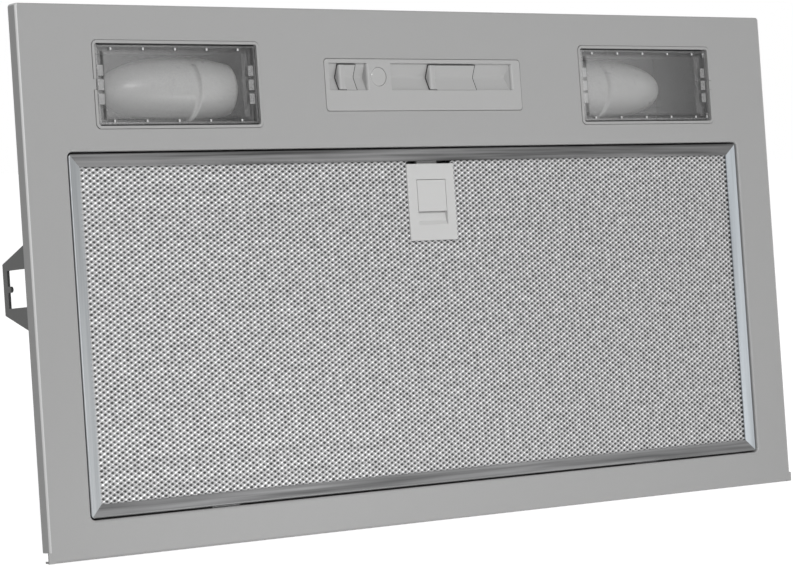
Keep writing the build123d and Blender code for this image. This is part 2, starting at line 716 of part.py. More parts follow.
BRACKET_FRONT = LUG_BACK + GROMMET_LENGTH
ROOF_INSIDE = HOUSING_BACK - HOUSING_WALL
with BuildPart() as motor_bracket:
    with BuildSketch(facing(BRACKET_FRONT)):
        with Locations((FAN_X, FAN_Z)):
            with PolarLocations(LUG_CIRCLE, 3, start_angle=90):
                Circle(LUG_RADIUS)
            with PolarLocations((LUG_CIRCLE + BRACKET_HOLE) / 2, 3, start_angle=90):
                Rectangle(LUG_CIRCLE - BRACKET_HOLE, 2 * LUG_RADIUS)
            Circle(BRACKET_RING)
            Circle(BRACKET_HOLE, mode=Mode.SUBTRACT)
            with PolarLocations(LUG_CIRCLE, 3, start_angle=90):
                Circle(SCREW_HOLE, mode=Mode.SUBTRACT)
    extrude(amount=-BRACKET_SHEET)
    with BuildSketch(facing(BRACKET_FRONT)):    # posts up to the housing's roof, between the arms
        with Locations((FAN_X, FAN_Z)):
            with PolarLocations(BRACKET_POST_CIRCLE, 3, start_angle=30):
                Circle(BRACKET_POST)
    extrude(amount=-(ROOF_INSIDE - BRACKET_FRONT))
finish(motor_bracket, "motor_bracket")

with BuildPart() as motor_screws:
    for place in PolarLocations(LUG_CIRCLE, 3, start_angle=90):
        head = (
            FAN_X + place.position.X,
            FACE_Y + BRACKET_FRONT + BRACKET_SHEET,
            FAN_Z + place.position.Y,
        )
        screw(head, (0, -1, 0), BRACKET_SHEET + GROMMET_LENGTH + LUG_SHEET + SHEET)
finish(motor_screws, "motor_screws")

# ================================================================ scroll round the impeller
with BuildPart() as scroll_wall:
    with BuildSketch(facing(TRAY_DEPTH)):
        angle = math.radians(SCROLL_START_ANGLE)
        start = (FAN_X + SCROLL_START * math.cos(angle), FAN_Z + SCROLL_START * math.sin(angle))
        heading = (-math.sin(angle), math.cos(angle))
        mouth = COLLAR_RADIUS + SCROLL_CLEARANCE
        with BuildLine():
            first = JernArc(start, heading, *SCROLL_ARCS[0])
            second = JernArc(first @ 1, first % 1, *SCROLL_ARCS[1])
            floor = Line(second @ 1, (COLLAR_X + mouth - SCROLL_CORNER, (second @ 1).Y))
            corner = JernArc(floor @ 1, floor % 1, SCROLL_CORNER, 90)
            side_run = Line(corner @ 1, (COLLAR_X + mouth, COLLAR_Z))
            cap = JernArc(side_run @ 1, side_run % 1, mouth, SCROLL_CAP_ANGLE)
            Line(cap @ 1, start)
        outline = make_face()
        offset(outline, amount=-SCROLL_WALL, mode=Mode.SUBTRACT)
    extrude(amount=-(ROOF_INSIDE - TRAY_DEPTH))
finish(scroll_wall, "scroll_wall")

# ================================================================ motor housing
def drafted_block(inset):
    """Tapered block with a rounded far edge: the housing's outside, or its cavity one wall further in."""
    with BuildPart() as block:
        with BuildSketch(facing(TRAY_DEPTH)):
            with Locations((0, MID_Z)):
                RectangleRounded(
                    HOUSING_WIDTH - 2 * inset, HOUSING_HEIGHT - 2 * inset, HOUSING_CORNER - inset
                )
        extrude(amount=-(HOUSING_BACK - inset - TRAY_DEPTH), taper=HOUSING_DRAFT)
        fillet(block.faces().sort_by(Axis.Y)[-1].edges(), radius=HOUSING_EDGE - inset)
    return block.part


housing_outside = drafted_block(0)
housing_cavity = drafted_block(HOUSING_WALL)
with BuildPart() as motor_housing:
    add(housing_outside)
    add(housing_cavity, mode=Mode.SUBTRACT)
    with BuildSketch(facing(TRAY_DEPTH)):
        with Locations((0, MID_Z)):
            RectangleRounded(
                HOUSING_WIDTH + 2 * FLANGE_SIDE, HOUSING_HEIGHT + 2 * FLANGE_ENDS, HOUSING_CORNER / 2
            )
            RectangleRounded(
                HOUSING_WIDTH - 2 * HOUSING_WALL,
                HOUSING_HEIGHT - 2 * HOUSING_WALL,
                HOUSING_CORNER - HOUSING_WALL,
                mode=Mode.SUBTRACT,
            )
            with housing_screw_places():
                Circle(SCREW_HOLE, mode=Mode.SUBTRACT)
    extrude(amount=-FLANGE_SHEET)
    gusset_foot = FACE_Y + TRAY_DEPTH
    for row in range(HOUSING_SCREWS - 1):       # gussets brace the flange between the screws
        z = MID_Z + (row - (HOUSING_SCREWS - 2) / 2) * HOUSING_SCREW_PITCH
        for side in (-1, 1):
            inner = side * (HOUSING_WIDTH - HOUSING_WALL) / 2
            outer = side * (HOUSING_WIDTH / 2 + GUSSET_FOOT)
            with BuildSketch(Plane.XY.offset(z - GUSSET_SHEET / 2)):
                with BuildLine():
                    Polyline(
                        (inner, gusset_foot),
                        (outer, gusset_foot),
                        (outer, gusset_foot + FLANGE_SHEET),
                        (inner, gusset_foot + GUSSET_HEIGHT),
                        close=True,
                    )
                make_face()
            extrude(amount=GUSSET_SHEET)
    with BuildSketch(facing(HOUSING_BACK - HOUSING_WALL / 2)):      # raised dish over the motor
        with Locations((FAN_X, FAN_Z)):
            Circle(DISH_RADIUS)
    extrude(amount=-(DISH_RISE + HOUSING_WALL / 2), taper=DISH_TAPER)
    with BuildSketch(facing(HOUSING_BACK - 2 * HOUSING_WALL)):
        with Locations((COLLAR_X, COLLAR_Z)):
            Circle(COLLAR_RADIUS - COLLAR_WALL)
            with PolarLocations(COLLAR_SCREW_CIRCLE, 4, start_angle=45):
                Circle(SCREW_HOLE)
    extrude(amount=-3 * HOUSING_WALL, mode=Mode.SUBTRACT)
finish(motor_housing, "motor_housing")

with BuildPart() as housing_screws:
    for side in (-1, 1):
        for row in range(HOUSING_SCREWS):
            z = MID_Z + (row - (HOUSING_SCREWS - 1) / 2) * HOUSING_SCREW_PITCH
            head = (side * HOUSING_SCREW_X, FACE_Y + TRAY_DEPTH + FLANGE_SHEET, z)
            screw(head, (0, -1, 0), HOUSING_SCREW_LENGTH)
finish(housing_screws, "housing_screws")

# ================================================================ duct collar and its two flaps
with BuildPart() as outlet_collar:
    with BuildSketch(facing(HOUSING_BACK)):
        with Locations((COLLAR_X, COLLAR_Z)):
            Circle(COLLAR_FLANGE_RADIUS)
            Circle(COLLAR_RADIUS - COLLAR_WALL, mode=Mode.SUBTRACT)
            with PolarLocations(COLLAR_SCREW_CIRCLE, 4, start_angle=45):
                Circle(SCREW_HOLE, mode=Mode.SUBTRACT)
    extrude(amount=-COLLAR_FLANGE)
    with BuildSketch(facing(HOUSING_BACK)):
        with Locations((COLLAR_X, COLLAR_Z)):
            Circle(COLLAR_RADIUS)
            Circle(COLLAR_RADIUS - COLLAR_WALL, mode=Mode.SUBTRACT)
    extrude(amount=-COLLAR_LENGTH)
    with BuildSketch(Plane.XY.offset(COLLAR_Z - COLLAR_RADIUS)):    # holes for the ends of the flap pin
        with Locations((COLLAR_X, FACE_Y + FLAP_DEPTH)):
            Circle(FLAP_PIN_RADIUS)
    extrude(amount=2 * COLLAR_RADIUS, mode=Mode.SUBTRACT)
finish(outlet_collar, "outlet_collar")

with BuildPart() as collar_screws:
    for place in PolarLocations(COLLAR_SCREW_CIRCLE, 4, start_angle=45):
        head = (
            COLLAR_X + place.position.X,
            FACE_Y + HOUSING_BACK + COLLAR_FLANGE,
            COLLAR_Z + place.position.Y,
        )
        screw(head, (0, -1, 0), COLLAR_FLANGE + HOUSING_WALL)
finish(collar_screws, "collar_screws")

with BuildPart() as flap_pin:
    with BuildSketch(Plane.XY.offset(COLLAR_Z - COLLAR_RADIUS + FLAP_PIN_SHORT)):
        with Locations((COLLAR_X, FACE_Y + FLAP_DEPTH)):
            Circle(FLAP_PIN_RADIUS)
    extrude(amount=2 * (COLLAR_RADIUS - FLAP_PIN_SHORT))
finish(flap_pin, "flap_pin")

FLAP_RADIUS = COLLAR_RADIUS - COLLAR_WALL - FLAP_GAP


def make_flap(name, side):
    """Half-round non-return flap; its knuckles round the pin fill the gaps between the other flap's."""
    first = 0 if side < 0 else 1
    lows = [
        (k - KNUCKLES / 2) * KNUCKLE_PITCH + (KNUCKLE_PITCH - KNUCKLE_LENGTH) / 2
        for k in range(first, KNUCKLES, 2)
    ]
    with BuildPart() as flap:
        with BuildSketch(facing(FLAP_DEPTH - FLAP_SHEET / 2)):
            with Locations((COLLAR_X, COLLAR_Z)):
                Circle(FLAP_RADIUS)
                with Locations((side * (FLAP_EDGE - FLAP_RADIUS), 0)):
                    Rectangle(2 * FLAP_RADIUS, 2 * COLLAR_RADIUS, mode=Mode.SUBTRACT)
                for low in lows:
                    with Locations((side * FLAP_WEB / 2, low + KNUCKLE_LENGTH / 2)):
                        Rectangle(FLAP_WEB, KNUCKLE_LENGTH)
        extrude(amount=-FLAP_SHEET)
        for low in lows:
            with BuildSketch(Plane.XY.offset(COLLAR_Z + low)):
                with Locations((COLLAR_X, FACE_Y + FLAP_DEPTH)):
                    Circle(KNUCKLE_RADIUS)
            extrude(amount=KNUCKLE_LENGTH)
        with BuildSketch(Plane.XY.offset(COLLAR_Z - COLLAR_RADIUS)):
            with Locations((COLLAR_X, FACE_Y + FLAP_DEPTH)):
                Circle(FLAP_PIN_RADIUS + PIN_CLEARANCE)
        extrude(amount=2 * COLLAR_RADIUS, mode=Mode.SUBTRACT)
    finish(flap, name)


make_flap("flap_left", -1)
make_flap("flap_right", 1)

# ================================================================ mains terminals
with BuildPart() as terminal_box:
    with BuildSketch(facing(TRAY_DEPTH)):
        with Locations((BOX_X, BOX_Z)):
            RectangleRounded(BOX_WIDTH, BOX_HEIGHT, BOX_CORNER)
    extrude(amount=-BOX_DEPTH)
    offset(amount=-BOX_WALL, openings=terminal_box.faces().sort_by(Axis.Y)[0])
    with BuildSketch(facing(TRAY_DEPTH + BOX_DEPTH - 2 * BOX_WALL)):
        with Locations((BOX_X, BOX_Z)):
            Circle(GLAND_SPIGOT)
    extrude(amount=-3 * BOX_WALL, mode=Mode.SUBTRACT)
finish(terminal_box, "terminal_box")

with BuildPart() as terminal_block:
    with BuildSketch(facing(TRAY_DEPTH)):
        with Locations((BOX_X, BOX_Z)):
            Rectangle(TERMINAL_WIDTH, TERMINAL_HEIGHT)
    extrude(amount=-TERMINAL_DEPTH)
    with BuildSketch(facing(TRAY_DEPTH + TERMINAL_DEPTH)):
        with Locations((BOX_X, BOX_Z)):
            with GridLocations(TERMINAL_PITCH, 1, 3, 1):
                Circle(TERMINAL_HOLE)
    extrude(amount=TERMINAL_DEPTH / 2, mode=Mode.SUBTRACT)
finish(terminal_block, "terminal_block")

with BuildPart() as cable_gland:
    with BuildSketch(facing(TRAY_DEPTH + BOX_DEPTH)):
        with Locations((BOX_X, BOX_Z)):
            RegularPolygon(GLAND_NUT, 6)
    extrude(amount=-GLAND_NUT_LENGTH)
    with BuildSketch(facing(TRAY_DEPTH + BOX_DEPTH + GLAND_NUT_LENGTH)):
        with Locations((BOX_X, BOX_Z)):
            Circle(GLAND_TIP)
    extrude(amount=-(GLAND_LENGTH - GLAND_NUT_LENGTH), taper=GLAND_TAPER)
    with BuildSketch(facing(TRAY_DEPTH + BOX_DEPTH)):
        with Locations((BOX_X, BOX_Z)):
            Circle(GLAND_SPIGOT)
    extrude(amount=GLAND_SPIGOT_LENGTH)
    with BuildSketch(facing(TRAY_DEPTH + BOX_DEPTH - GLAND_SPIGOT_LENGTH - SHEET)):
        with Locations((BOX_X, BOX_Z)):
            Circle(GLAND_BORE)
    extrude(amount=-(GLAND_SPIGOT_LENGTH + GLAND_LENGTH + 2 * SHEET), mode=Mode.SUBTRACT)
finish(cable_gland, "cable_gland")

with BuildPart() as capacitor:
    with BuildSketch(Plane.XY.offset(CAPACITOR_BOTTOM)):
        with Locations((CAPACITOR_X, FACE_Y + TRAY_DEPTH - SHEET - CAPACITOR_RADIUS)):
            Circle(CAPACITOR_RADIUS)
    extrude(amount=CAPACITOR_LENGTH)
    fillet(capacitor.edges().filter_by(GeomType.CIRCLE), radius=CAPACITOR_EDGE)
finish(capacitor, "capacitor")

# ================================================================ lamps
LAMP_INNER_WIDTH = LAMP_WIDTH - 2 * LAMP_WALL
LAMP_INNER_HEIGHT = LAMP_HEIGHT - 2 * LAMP_WALL
COVER_HALF_WIDTH = LAMP_INNER_WIDTH / 2 - COVER_GAP
COVER_HALF_HEIGHT = LAMP_INNER_HEIGHT / 2 - COVER_GAP
COVER_HINGE_X = COVER_HALF_WIDTH - COVER_RIM / 2        # the hinge runs in the cover's outer rim


def make_lamp(name, side):
    """Lamp housing, holder, bulb and snap-in cover of one side; the holder is towards the controls."""
    centre = side * LAMP_X
    inward = -side                      # direction from the lamp's middle to the controls
    wall_x = centre + inward * LAMP_INNER_WIDTH / 2
    mouth_x = wall_x - inward * HOLDER_LENGTH
    hinge_x = centre + side * COVER_HINGE_X

    with BuildPart() as housing:
        with BuildSketch(facing(-LAMP_PROUD)):
            with Locations((centre, LAMP_Z)):
                RectangleRounded(LAMP_WIDTH, LAMP_HEIGHT, LAMP_CORNER)
        extrude(amount=-(LAMP_DEPTH + LAMP_PROUD))
        with BuildSketch(facing(SHEET)):            # flange behind the panel
            with Locations((centre, LAMP_Z)):
                Rectangle(LAMP_WIDTH + 2 * LAMP_FLANGE, LAMP_HEIGHT + 2 * LAMP_FLANGE)
        extrude(amount=-LAMP_WALL)
        with BuildSketch(facing(-LAMP_PROUD)):
            with Locations((centre, LAMP_Z)):
                RectangleRounded(LAMP_INNER_WIDTH, LAMP_INNER_HEIGHT, LAMP_CORNER - LAMP_WALL)
        extrude(amount=-(LAMP_DEPTH + LAMP_PROUD - LAMP_WALL), mode=Mode.SUBTRACT)
        with BuildSketch(Plane.XY.offset(LAMP_Z - LAMP_HEIGHT / 2)):    # holes for the cover's hinge pins
            with Locations((hinge_x, FACE_Y + COVER_HINGE_DEPTH)):
                Circle(COVER_PIN_RADIUS + PIN_CLEARANCE)
        extrude(amount=LAMP_HEIGHT, mode=Mode.SUBTRACT)
        with BuildSketch(facing(-LAMP_PROUD)):      # notch for the panel's tongue
            with Locations((centre + side * (LAMP_WIDTH - LAMP_WALL) / 2, LAMP_Z)):
                Rectangle(2 * LAMP_WALL, KEY_WIDTH + WINDOW_GAP)
        extrude(amount=-(LAMP_PROUD + SHEET), mode=Mode.SUBTRACT)
    finish(housing, f"lamp_housing_{name}")

    with BuildPart() as holder:
        with BuildSketch(across(wall_x)):
            with Locations(at(BULB_DEPTH, LAMP_Z)):
                Circle(HOLDER_RADIUS)
        extrude(amount=-inward * HOLDER_LENGTH)
        chamfer(holder.faces().sort_by(Axis.X)[0 if inward > 0 else -1].edges(), length=HOLDER_CHAMFER)
        with BuildSketch(across(mouth_x)):
            with Locations(at(BULB_DEPTH, LAMP_Z)):
                Circle(CAP_RADIUS + 0.2)
        extrude(amount=inward * (CAP_LENGTH + 1), mode=Mode.SUBTRACT)
    finish(holder, f"lamp_holder_{name}")

    bulb_base = (mouth_x - inward * 0.3, FACE_Y + BULB_DEPTH, LAMP_Z)
    with BuildPart() as bulb:
        with BuildSketch(Plane(origin=bulb_base, x_dir=(-inward, 0, 0), z_dir=(0, 0, -inward))):
            with BuildLine():
                base = Polyline(
                    (0, 0),
                    (-CAP_LENGTH, 0),
                    (-CAP_LENGTH, CAP_RADIUS - 2),
                    (-CAP_LENGTH + 2, CAP_RADIUS),
                    (0, CAP_RADIUS),
                    (0, BULB_NECK),
                )
                shoulder = ThreePointArc(
                    (0, BULB_NECK),
                    (0.4 * BULB_WIDEST, 0.86 * BULB_RADIUS),
                    (BULB_WIDEST, BULB_RADIUS),
                )
                flank = JernArc((BULB_WIDEST, BULB_RADIUS), (1, 0), BULB_FLANK_RADIUS, -BULB_FLANK_ANGLE)
                tip_radius = (flank @ 1).Y / math.cos(math.radians(BULB_FLANK_ANGLE))
                tip = JernArc(flank @ 1, flank % 1, tip_radius, BULB_FLANK_ANGLE - 90)
                Line(tip @ 1, (0, 0))
            make_face()
        revolve(axis=Axis(bulb_base, (1, 0, 0)))
    finish(bulb, f"bulb_{name}")

    pan_width = LAMP_WIDTH - 2 * PAN_INSET_X
    pan_height = LAMP_HEIGHT - 2 * PAN_INSET_Z
    channel_x = COVER_HALF_WIDTH - pan_width / 2
    channel_z = COVER_HALF_HEIGHT - pan_height / 2
    with BuildPart() as cover:
        with BuildSketch(facing(COVER_FRONT)):
            with Locations((centre, LAMP_Z)):
                Rectangle(pan_width, pan_height)
        extrude(amount=-(COVER_FLANGE_DEPTH + COVER_WALL - COVER_FRONT))
        fillet(cover.faces().sort_by(Axis.Y)[0].edges(), radius=COVER_EDGE)
        with BuildSketch(facing(COVER_FLANGE_DEPTH)):           # floor of the channel round the pan
            with Locations((centre, LAMP_Z)):
                Rectangle(2 * COVER_HALF_WIDTH, 2 * COVER_HALF_HEIGHT)
        extrude(amount=-COVER_WALL)
        with BuildSketch(facing(COVER_RIM_FRONT)):
            with Locations((centre, LAMP_Z)):
                Rectangle(2 * COVER_HALF_WIDTH, 2 * COVER_HALF_HEIGHT)
                Rectangle(
                    2 * (COVER_HALF_WIDTH - COVER_RIM),
                    2 * (COVER_HALF_HEIGHT - COVER_RIM),
                    mode=Mode.SUBTRACT,
                )
        extrude(amount=-(COVER_FLANGE_DEPTH - COVER_RIM_FRONT))
        with BuildSketch(facing(COVER_FLANGE_DEPTH)):
            with Locations((centre, LAMP_Z)):
                with GridLocations(PEG_PITCH, pan_height + channel_z, PEG_COUNT, 2):
                    Rectangle(PEG_WIDTH, channel_z)
        extrude(amount=PEG_LENGTH)
        with BuildSketch(facing(COVER_FLANGE_DEPTH)):
            with Locations((centre, LAMP_Z)):
                with GridLocations(pan_width + channel_x, CLIP_PITCH, 2, 3):
                    Rectangle(channel_x, CLIP_HEIGHT)
        extrude(amount=CLIP_LENGTH)
        with BuildSketch(facing(COVER_FRONT + COVER_WALL)):     # the pan is hollow behind
            with Locations((centre, LAMP_Z)):
                Rectangle(pan_width - 2 * COVER_WALL, pan_height - 2 * COVER_WALL)
        extrude(amount=-COVER_FLANGE_DEPTH, mode=Mode.SUBTRACT)
        for low in (LAMP_Z - COVER_HALF_HEIGHT, LAMP_Z + COVER_HALF_HEIGHT - COVER_ARM_WIDTH):
            with BuildSketch(Plane.XY.offset(low)):             # hinge barrels at the rim's ends
                with Locations((hinge_x, FACE_Y + COVER_HINGE_DEPTH)):
                    Circle(COVER_ARM_RADIUS)
            extrude(amount=COVER_ARM_WIDTH)
        with BuildSketch(Plane.XY.offset(LAMP_Z + COVER_HALF_HEIGHT)):      # pins into the housing's walls
            with Locations((hinge_x, FACE_Y + COVER_HINGE_DEPTH)):
                Circle(COVER_PIN_RADIUS)
        pin = extrude(amount=COVER_PIN_LENGTH)
        mirror(pin, about=Plane.XY.offset(LAMP_Z))
    finish(cover, f"lamp_cover_{name}")


make_lamp("left", -1)
make_lamp("right", 1)

# ================================================================ control module
LIGHT_STEM = LIGHT_LEFT + STEM_AT
SPEED_STEM = SPEED_LEFT + STEM_AT


def channel(left, right, raised=0.0, front=1.0):
    """Solid of the slide channel from left to right, its floor raised towards the face.

    Its section has square lips, two facets and a rounded crease; it reaches front millimetres out of
    the face.
    """
    with BuildPart() as run:
        with BuildSketch(across(left)):
            with BuildLine():
                Polyline(
                    at(-front, GROOVE_BOTTOM),
                    at(GROOVE_LIP - raised, GROOVE_BOTTOM),
                    at(GROOVE_DEPTH - raised, GROOVE_MID),
                    at(GROOVE_LIP - raised, GROOVE_TOP),
                    at(-front, GROOVE_TOP),
                    close=True,
                )
            make_face()
        extrude(amount=right - left)
        fillet(run.edges().filter_by(Axis.X).sort_by(Axis.Y)[-1], radius=GROOVE_CREASE)
    return run.part


def groove(left, right, slope, rounding):
    """Channel cut out of the module; its right end slopes up to the face and rounds over into it."""
    deep = right - slope
    reach = right + rounding
    face = FACE_Y - BEZEL_PROUD
    turn = math.radians(45)
    with BuildPart() as cut:
        add(channel(left, reach))
        with BuildSketch(Plane.XY.offset(GROOVE_BOTTOM)):
            with BuildLine():
                Polyline(
                    (reach, face),
                    (reach, face - 1),
                    (left, face - 1),
                    (left, FACE_Y + GROOVE_DEPTH),
                    (deep, FACE_Y + GROOVE_DEPTH),
                    (right, face + rounding),
                )
                ThreePointArc(
                    (right, face + rounding),
                    (reach - rounding * math.cos(turn), face + rounding - rounding * math.sin(turn)),
                    (reach, face),
                )
            make_face()
        extrude(amount=GROOVE_TOP - GROOVE_BOTTOM, mode=Mode.INTERSECT)
    return cut.part


left_groove = groove(GROOVE_LEFT, BLOCK_LEFT, 0.0, GROOVE_END_ROUND)
right_groove = groove(BLOCK_RIGHT, GROOVE_RIGHT, GROOVE_END_SLOPE, GROOVE_END_ROUND)
with BuildPart() as control_bezel:
    with BuildSketch(facing(-BEZEL_PROUD)):
        with Locations((BEZEL_X, BEZEL_MID)):
            RectangleRounded(BEZEL_WIDTH, BEZEL_HEIGHT, BEZEL_CORNER)
    extrude(amount=-(BEZEL_DEPTH + BEZEL_PROUD))
    fillet(control_bezel.faces().sort_by(Axis.Y)[0].edges(), radius=BEZEL_EDGE)
    with BuildSketch(facing(SHEET)):
        with Locations((BEZEL_X, BEZEL_MID)):
            Rectangle(BEZEL_WIDTH + 2 * BEZEL_FLANGE, BEZEL_HEIGHT + 2 * BEZEL_FLANGE)
    extrude(amount=-LAMP_WALL)
    with BuildSketch(facing(BEZEL_DEPTH)):
        with Locations((BEZEL_X, BEZEL_MID)):
            with GridLocations(BEZEL_WIDTH - 2 * POST_INSET_X, BEZEL_HEIGHT - 2 * POST_INSET_Z, 2, 2):
                Circle(POST_RADIUS)
    extrude(amount=-(SWITCH_BACK - BEZEL_DEPTH))
    add(left_groove, mode=Mode.SUBTRACT)
    add(right_groove, mode=Mode.SUBTRACT)
    with BuildSketch(facing(-BEZEL_PROUD)):     # slots of the stems, and the hole of the lens
        for stem_x, travel in ((LIGHT_STEM, LIGHT_TRAVEL), (SPEED_STEM, SPEED_TRAVEL)):
            with Locations((stem_x + travel / 2, GROOVE_MID)):
                Rectangle(STEM_LENGTH + travel + 2 * SLOT_GAP, STEM_HEIGHT + 2 * SLOT_GAP)
        with Locations((LENS_X, GROOVE_MID)):
            Circle(LENS_RADIUS + PIN_CLEARANCE)
    extrude(amount=-BEZEL_DEPTH - BEZEL_PROUD, mode=Mode.SUBTRACT)
finish(control_bezel, "control_bezel")

with BuildPart() as indicator_lens:
    with BuildSketch(facing(-BEZEL_PROUD)):
        with Locations((LENS_X, GROOVE_MID)):
            Circle(LENS_RADIUS)
    extrude(amount=-BEZEL_DEPTH)
    fillet(indicator_lens.faces().sort_by(Axis.Y)[0].edges(), radius=LENS_EDGE)
finish(indicator_lens, "indicator_lens")


def make_slider(name, left, right):
    """Saddle knob that follows the channel, with a raised finger end at its left and a stem behind."""
    saddle = channel(left, right, raised=KNOB_GAP)
    hollow = channel(left, right, raised=KNOB_GAP + KNOB_SHEET, front=GROOVE_LIP)
    low = GROOVE_BOTTOM + KNOB_BOTTOM_GAP
    front = FACE_Y - BEZEL_PROUD
    back = FACE_Y + GROOVE_DEPTH
    ridge = left + KNOB_RIDGE
    with BuildPart() as scoop:                  # what the hollow leaves of the finger end
        add(hollow)
        with BuildSketch(Plane.XY.offset(GROOVE_BOTTOM)):
            with BuildLine():
                Polyline(
                    (ridge - KNOB_RIDGE_SLOPE, FACE_Y - GROOVE_LIP),
                    (ridge - KNOB_RIDGE_SLOPE, front),
                    (ridge, back - KNOB_SHEET),
                    (right, back - KNOB_SHEET),
                    (right, FACE_Y - GROOVE_LIP),
                    close=True,
                )
            make_face()
        extrude(amount=GROOVE_TOP - GROOVE_BOTTOM, mode=Mode.INTERSECT)
    with BuildPart() as slider:
        add(saddle)
        with BuildSketch(Plane.XY.offset(low)) as plan:         # rounded over at the left
            with Locations(((left + right) / 2, (front + back) / 2)):
                Rectangle(right - left, back - front)
            fillet(plan.vertices().sort_by(Axis.Y)[:2].sort_by(Axis.X)[0], radius=KNOB_ROUND)
        extrude(amount=GROOVE_TOP - KNOB_TOP_GAP - low, mode=Mode.INTERSECT)
        with BuildSketch(facing(STEM_FRONT)):
            with Locations((left + STEM_AT, GROOVE_MID)):
                Rectangle(STEM_LENGTH, STEM_HEIGHT)
        extrude(amount=-(STEM_END - STEM_FRONT))
        add(scoop.part, mode=Mode.SUBTRACT)
        with BuildSketch(facing(-BEZEL_PROUD)):                 # the finger end stops higher than the saddle
            with Locations((left + KNOB_RIDGE / 2, low)):
                Rectangle(KNOB_RIDGE, 2 * (KNOB_RIDGE_GAP - KNOB_BOTTOM_GAP))
        extrude(amount=-GROOVE_DEPTH, mode=Mode.SUBTRACT)
    finish(slider, name)


make_slider("light_slider", LIGHT_LEFT, LIGHT_RIGHT)
make_slider("speed_slider", SPEED_LEFT, SPEED_RIGHT)


def make_switch(name, stem_x, travel):
    """Slide switch body with the slot that its stem runs in."""
    with BuildPart() as switch:
        with BuildSketch(facing(SWITCH_FRONT)):
            with Locations((stem_x + travel / 2, GROOVE_MID)):
                Rectangle(STEM_LENGTH + travel + 2 * SWITCH_ENDS, SWITCH_HEIGHT)
        extrude(amount=-(SWITCH_BACK - SWITCH_FRONT))
        with BuildSketch(facing(SWITCH_FRONT)):
            with Locations((stem_x + travel / 2, GROOVE_MID)):
                Rectangle(STEM_LENGTH + travel + 2 * SLOT_GAP, STEM_HEIGHT + 2 * SLOT_GAP)
        extrude(amount=-(STEM_END - SWITCH_FRONT + SHEET), mode=Mode.SUBTRACT)
    finish(switch, name)


make_switch("light_switch", LIGHT_STEM, LIGHT_TRAVEL)
make_switch("speed_switch", SPEED_STEM, SPEED_TRAVEL)

with BuildPart() as switch_board:
    with BuildSketch(facing(SWITCH_BACK)):
        with Locations((BEZEL_X, BEZEL_MID)):
            RectangleRounded(BEZEL_WIDTH, BEZEL_HEIGHT, BEZEL_CORNER)
    extrude(amount=-BOARD_SHEET)
finish(switch_board, "switch_board")

# ================================================================ grease filter
FILTER_WIDTH = OPENING_WIDTH - 2 * FILTER_GAP
FILTER_BOTTOM = OPENING_BOTTOM + FILTER_GAP
FILTER_TOP = OPENING_TOP - FILTER_GAP
FILTER_HEIGHT = FILTER_TOP - FILTER_BOTTOM
RAIL_INNER = RAIL_FRONT + RAIL_DROP             # depth of the front flange where it meets the mesh
RAIL_UNDER = RAIL_DROP * RAIL_SHEET / RAIL_WIDTH        # its slope over the thickness of the outer wall
CORE_FRONT = RAIL_INNER + RAIL_SHEET + MESH_SHEET


def make_rail(name, length, middle, along, latch_slot=False):
    """Folded channel of one side of the filter, mitred at both ends; its outer edge runs through middle."""
    face = Plane(origin=middle, x_dir=along, z_dir=(0, -1, 0))
    end = Plane(origin=face.from_local_coords((-length / 2, 0, 0)), x_dir=face.y_dir, z_dir=face.x_dir)
    with BuildPart() as rail:
        with BuildSketch(end):
            with BuildLine():
                Polyline(
                    (0, -RAIL_FRONT),
                    (-RAIL_WIDTH, -RAIL_INNER),
                    (-RAIL_WIDTH, -RAIL_INNER - RAIL_SHEET),
                    (-RAIL_SHEET, -RAIL_FRONT - RAIL_SHEET - RAIL_UNDER),
                    (-RAIL_SHEET, -FILTER_BACK + RAIL_SHEET),
                    (-RAIL_WIDTH, -FILTER_BACK + RAIL_SHEET),
                    (-RAIL_WIDTH, -FILTER_BACK),
                    (0, -FILTER_BACK),
                    close=True,
                )
            make_face()
        extrude(amount=length)
        fillet(rail.edges().sort_by(Axis.Y)[0], radius=RAIL_BEND)
        with BuildSketch(face):
            with BuildLine():
                Polyline(
                    (-length / 2, 0),
                    (length / 2, 0),
                    (length / 2 - RAIL_WIDTH, -RAIL_WIDTH),
                    (-length / 2 + RAIL_WIDTH, -RAIL_WIDTH),
                    close=True,
                )
            make_face()
            with Locations((0, -length / 2)):
                RectangleRounded(length, length, RAIL_CORNER, mode=Mode.INTERSECT)
        extrude(amount=-FILTER_BACK, mode=Mode.INTERSECT)
        if latch_slot:
            with BuildSketch(facing(TONGUE_FRONT - LATCH_GAP)):
                with Locations((0, FILTER_TOP)):
                    Rectangle(TONGUE_WIDTH + 4 * LATCH_GAP, 3 * RAIL_SHEET)
            extrude(amount=-(TONGUE_THICK + 2 * LATCH_GAP), mode=Mode.SUBTRACT)
    finish(rail, name)


SIDE_X = FILTER_WIDTH / 2
FILTER_MID = (FILTER_TOP + FILTER_BOTTOM) / 2
make_rail("filter_rail_top", FILTER_WIDTH, (0, FACE_Y, FILTER_TOP), (1, 0, 0), latch_slot=True)
make_rail("filter_rail_bottom", FILTER_WIDTH, (0, FACE_Y, FILTER_BOTTOM), (-1, 0, 0))
make_rail("filter_rail_left", FILTER_HEIGHT, (-SIDE_X, FACE_Y, FILTER_MID), (0, 0, 1))
make_rail("filter_rail_right", FILTER_HEIGHT, (SIDE_X, FACE_Y, FILTER_MID), (0, 0, -1))


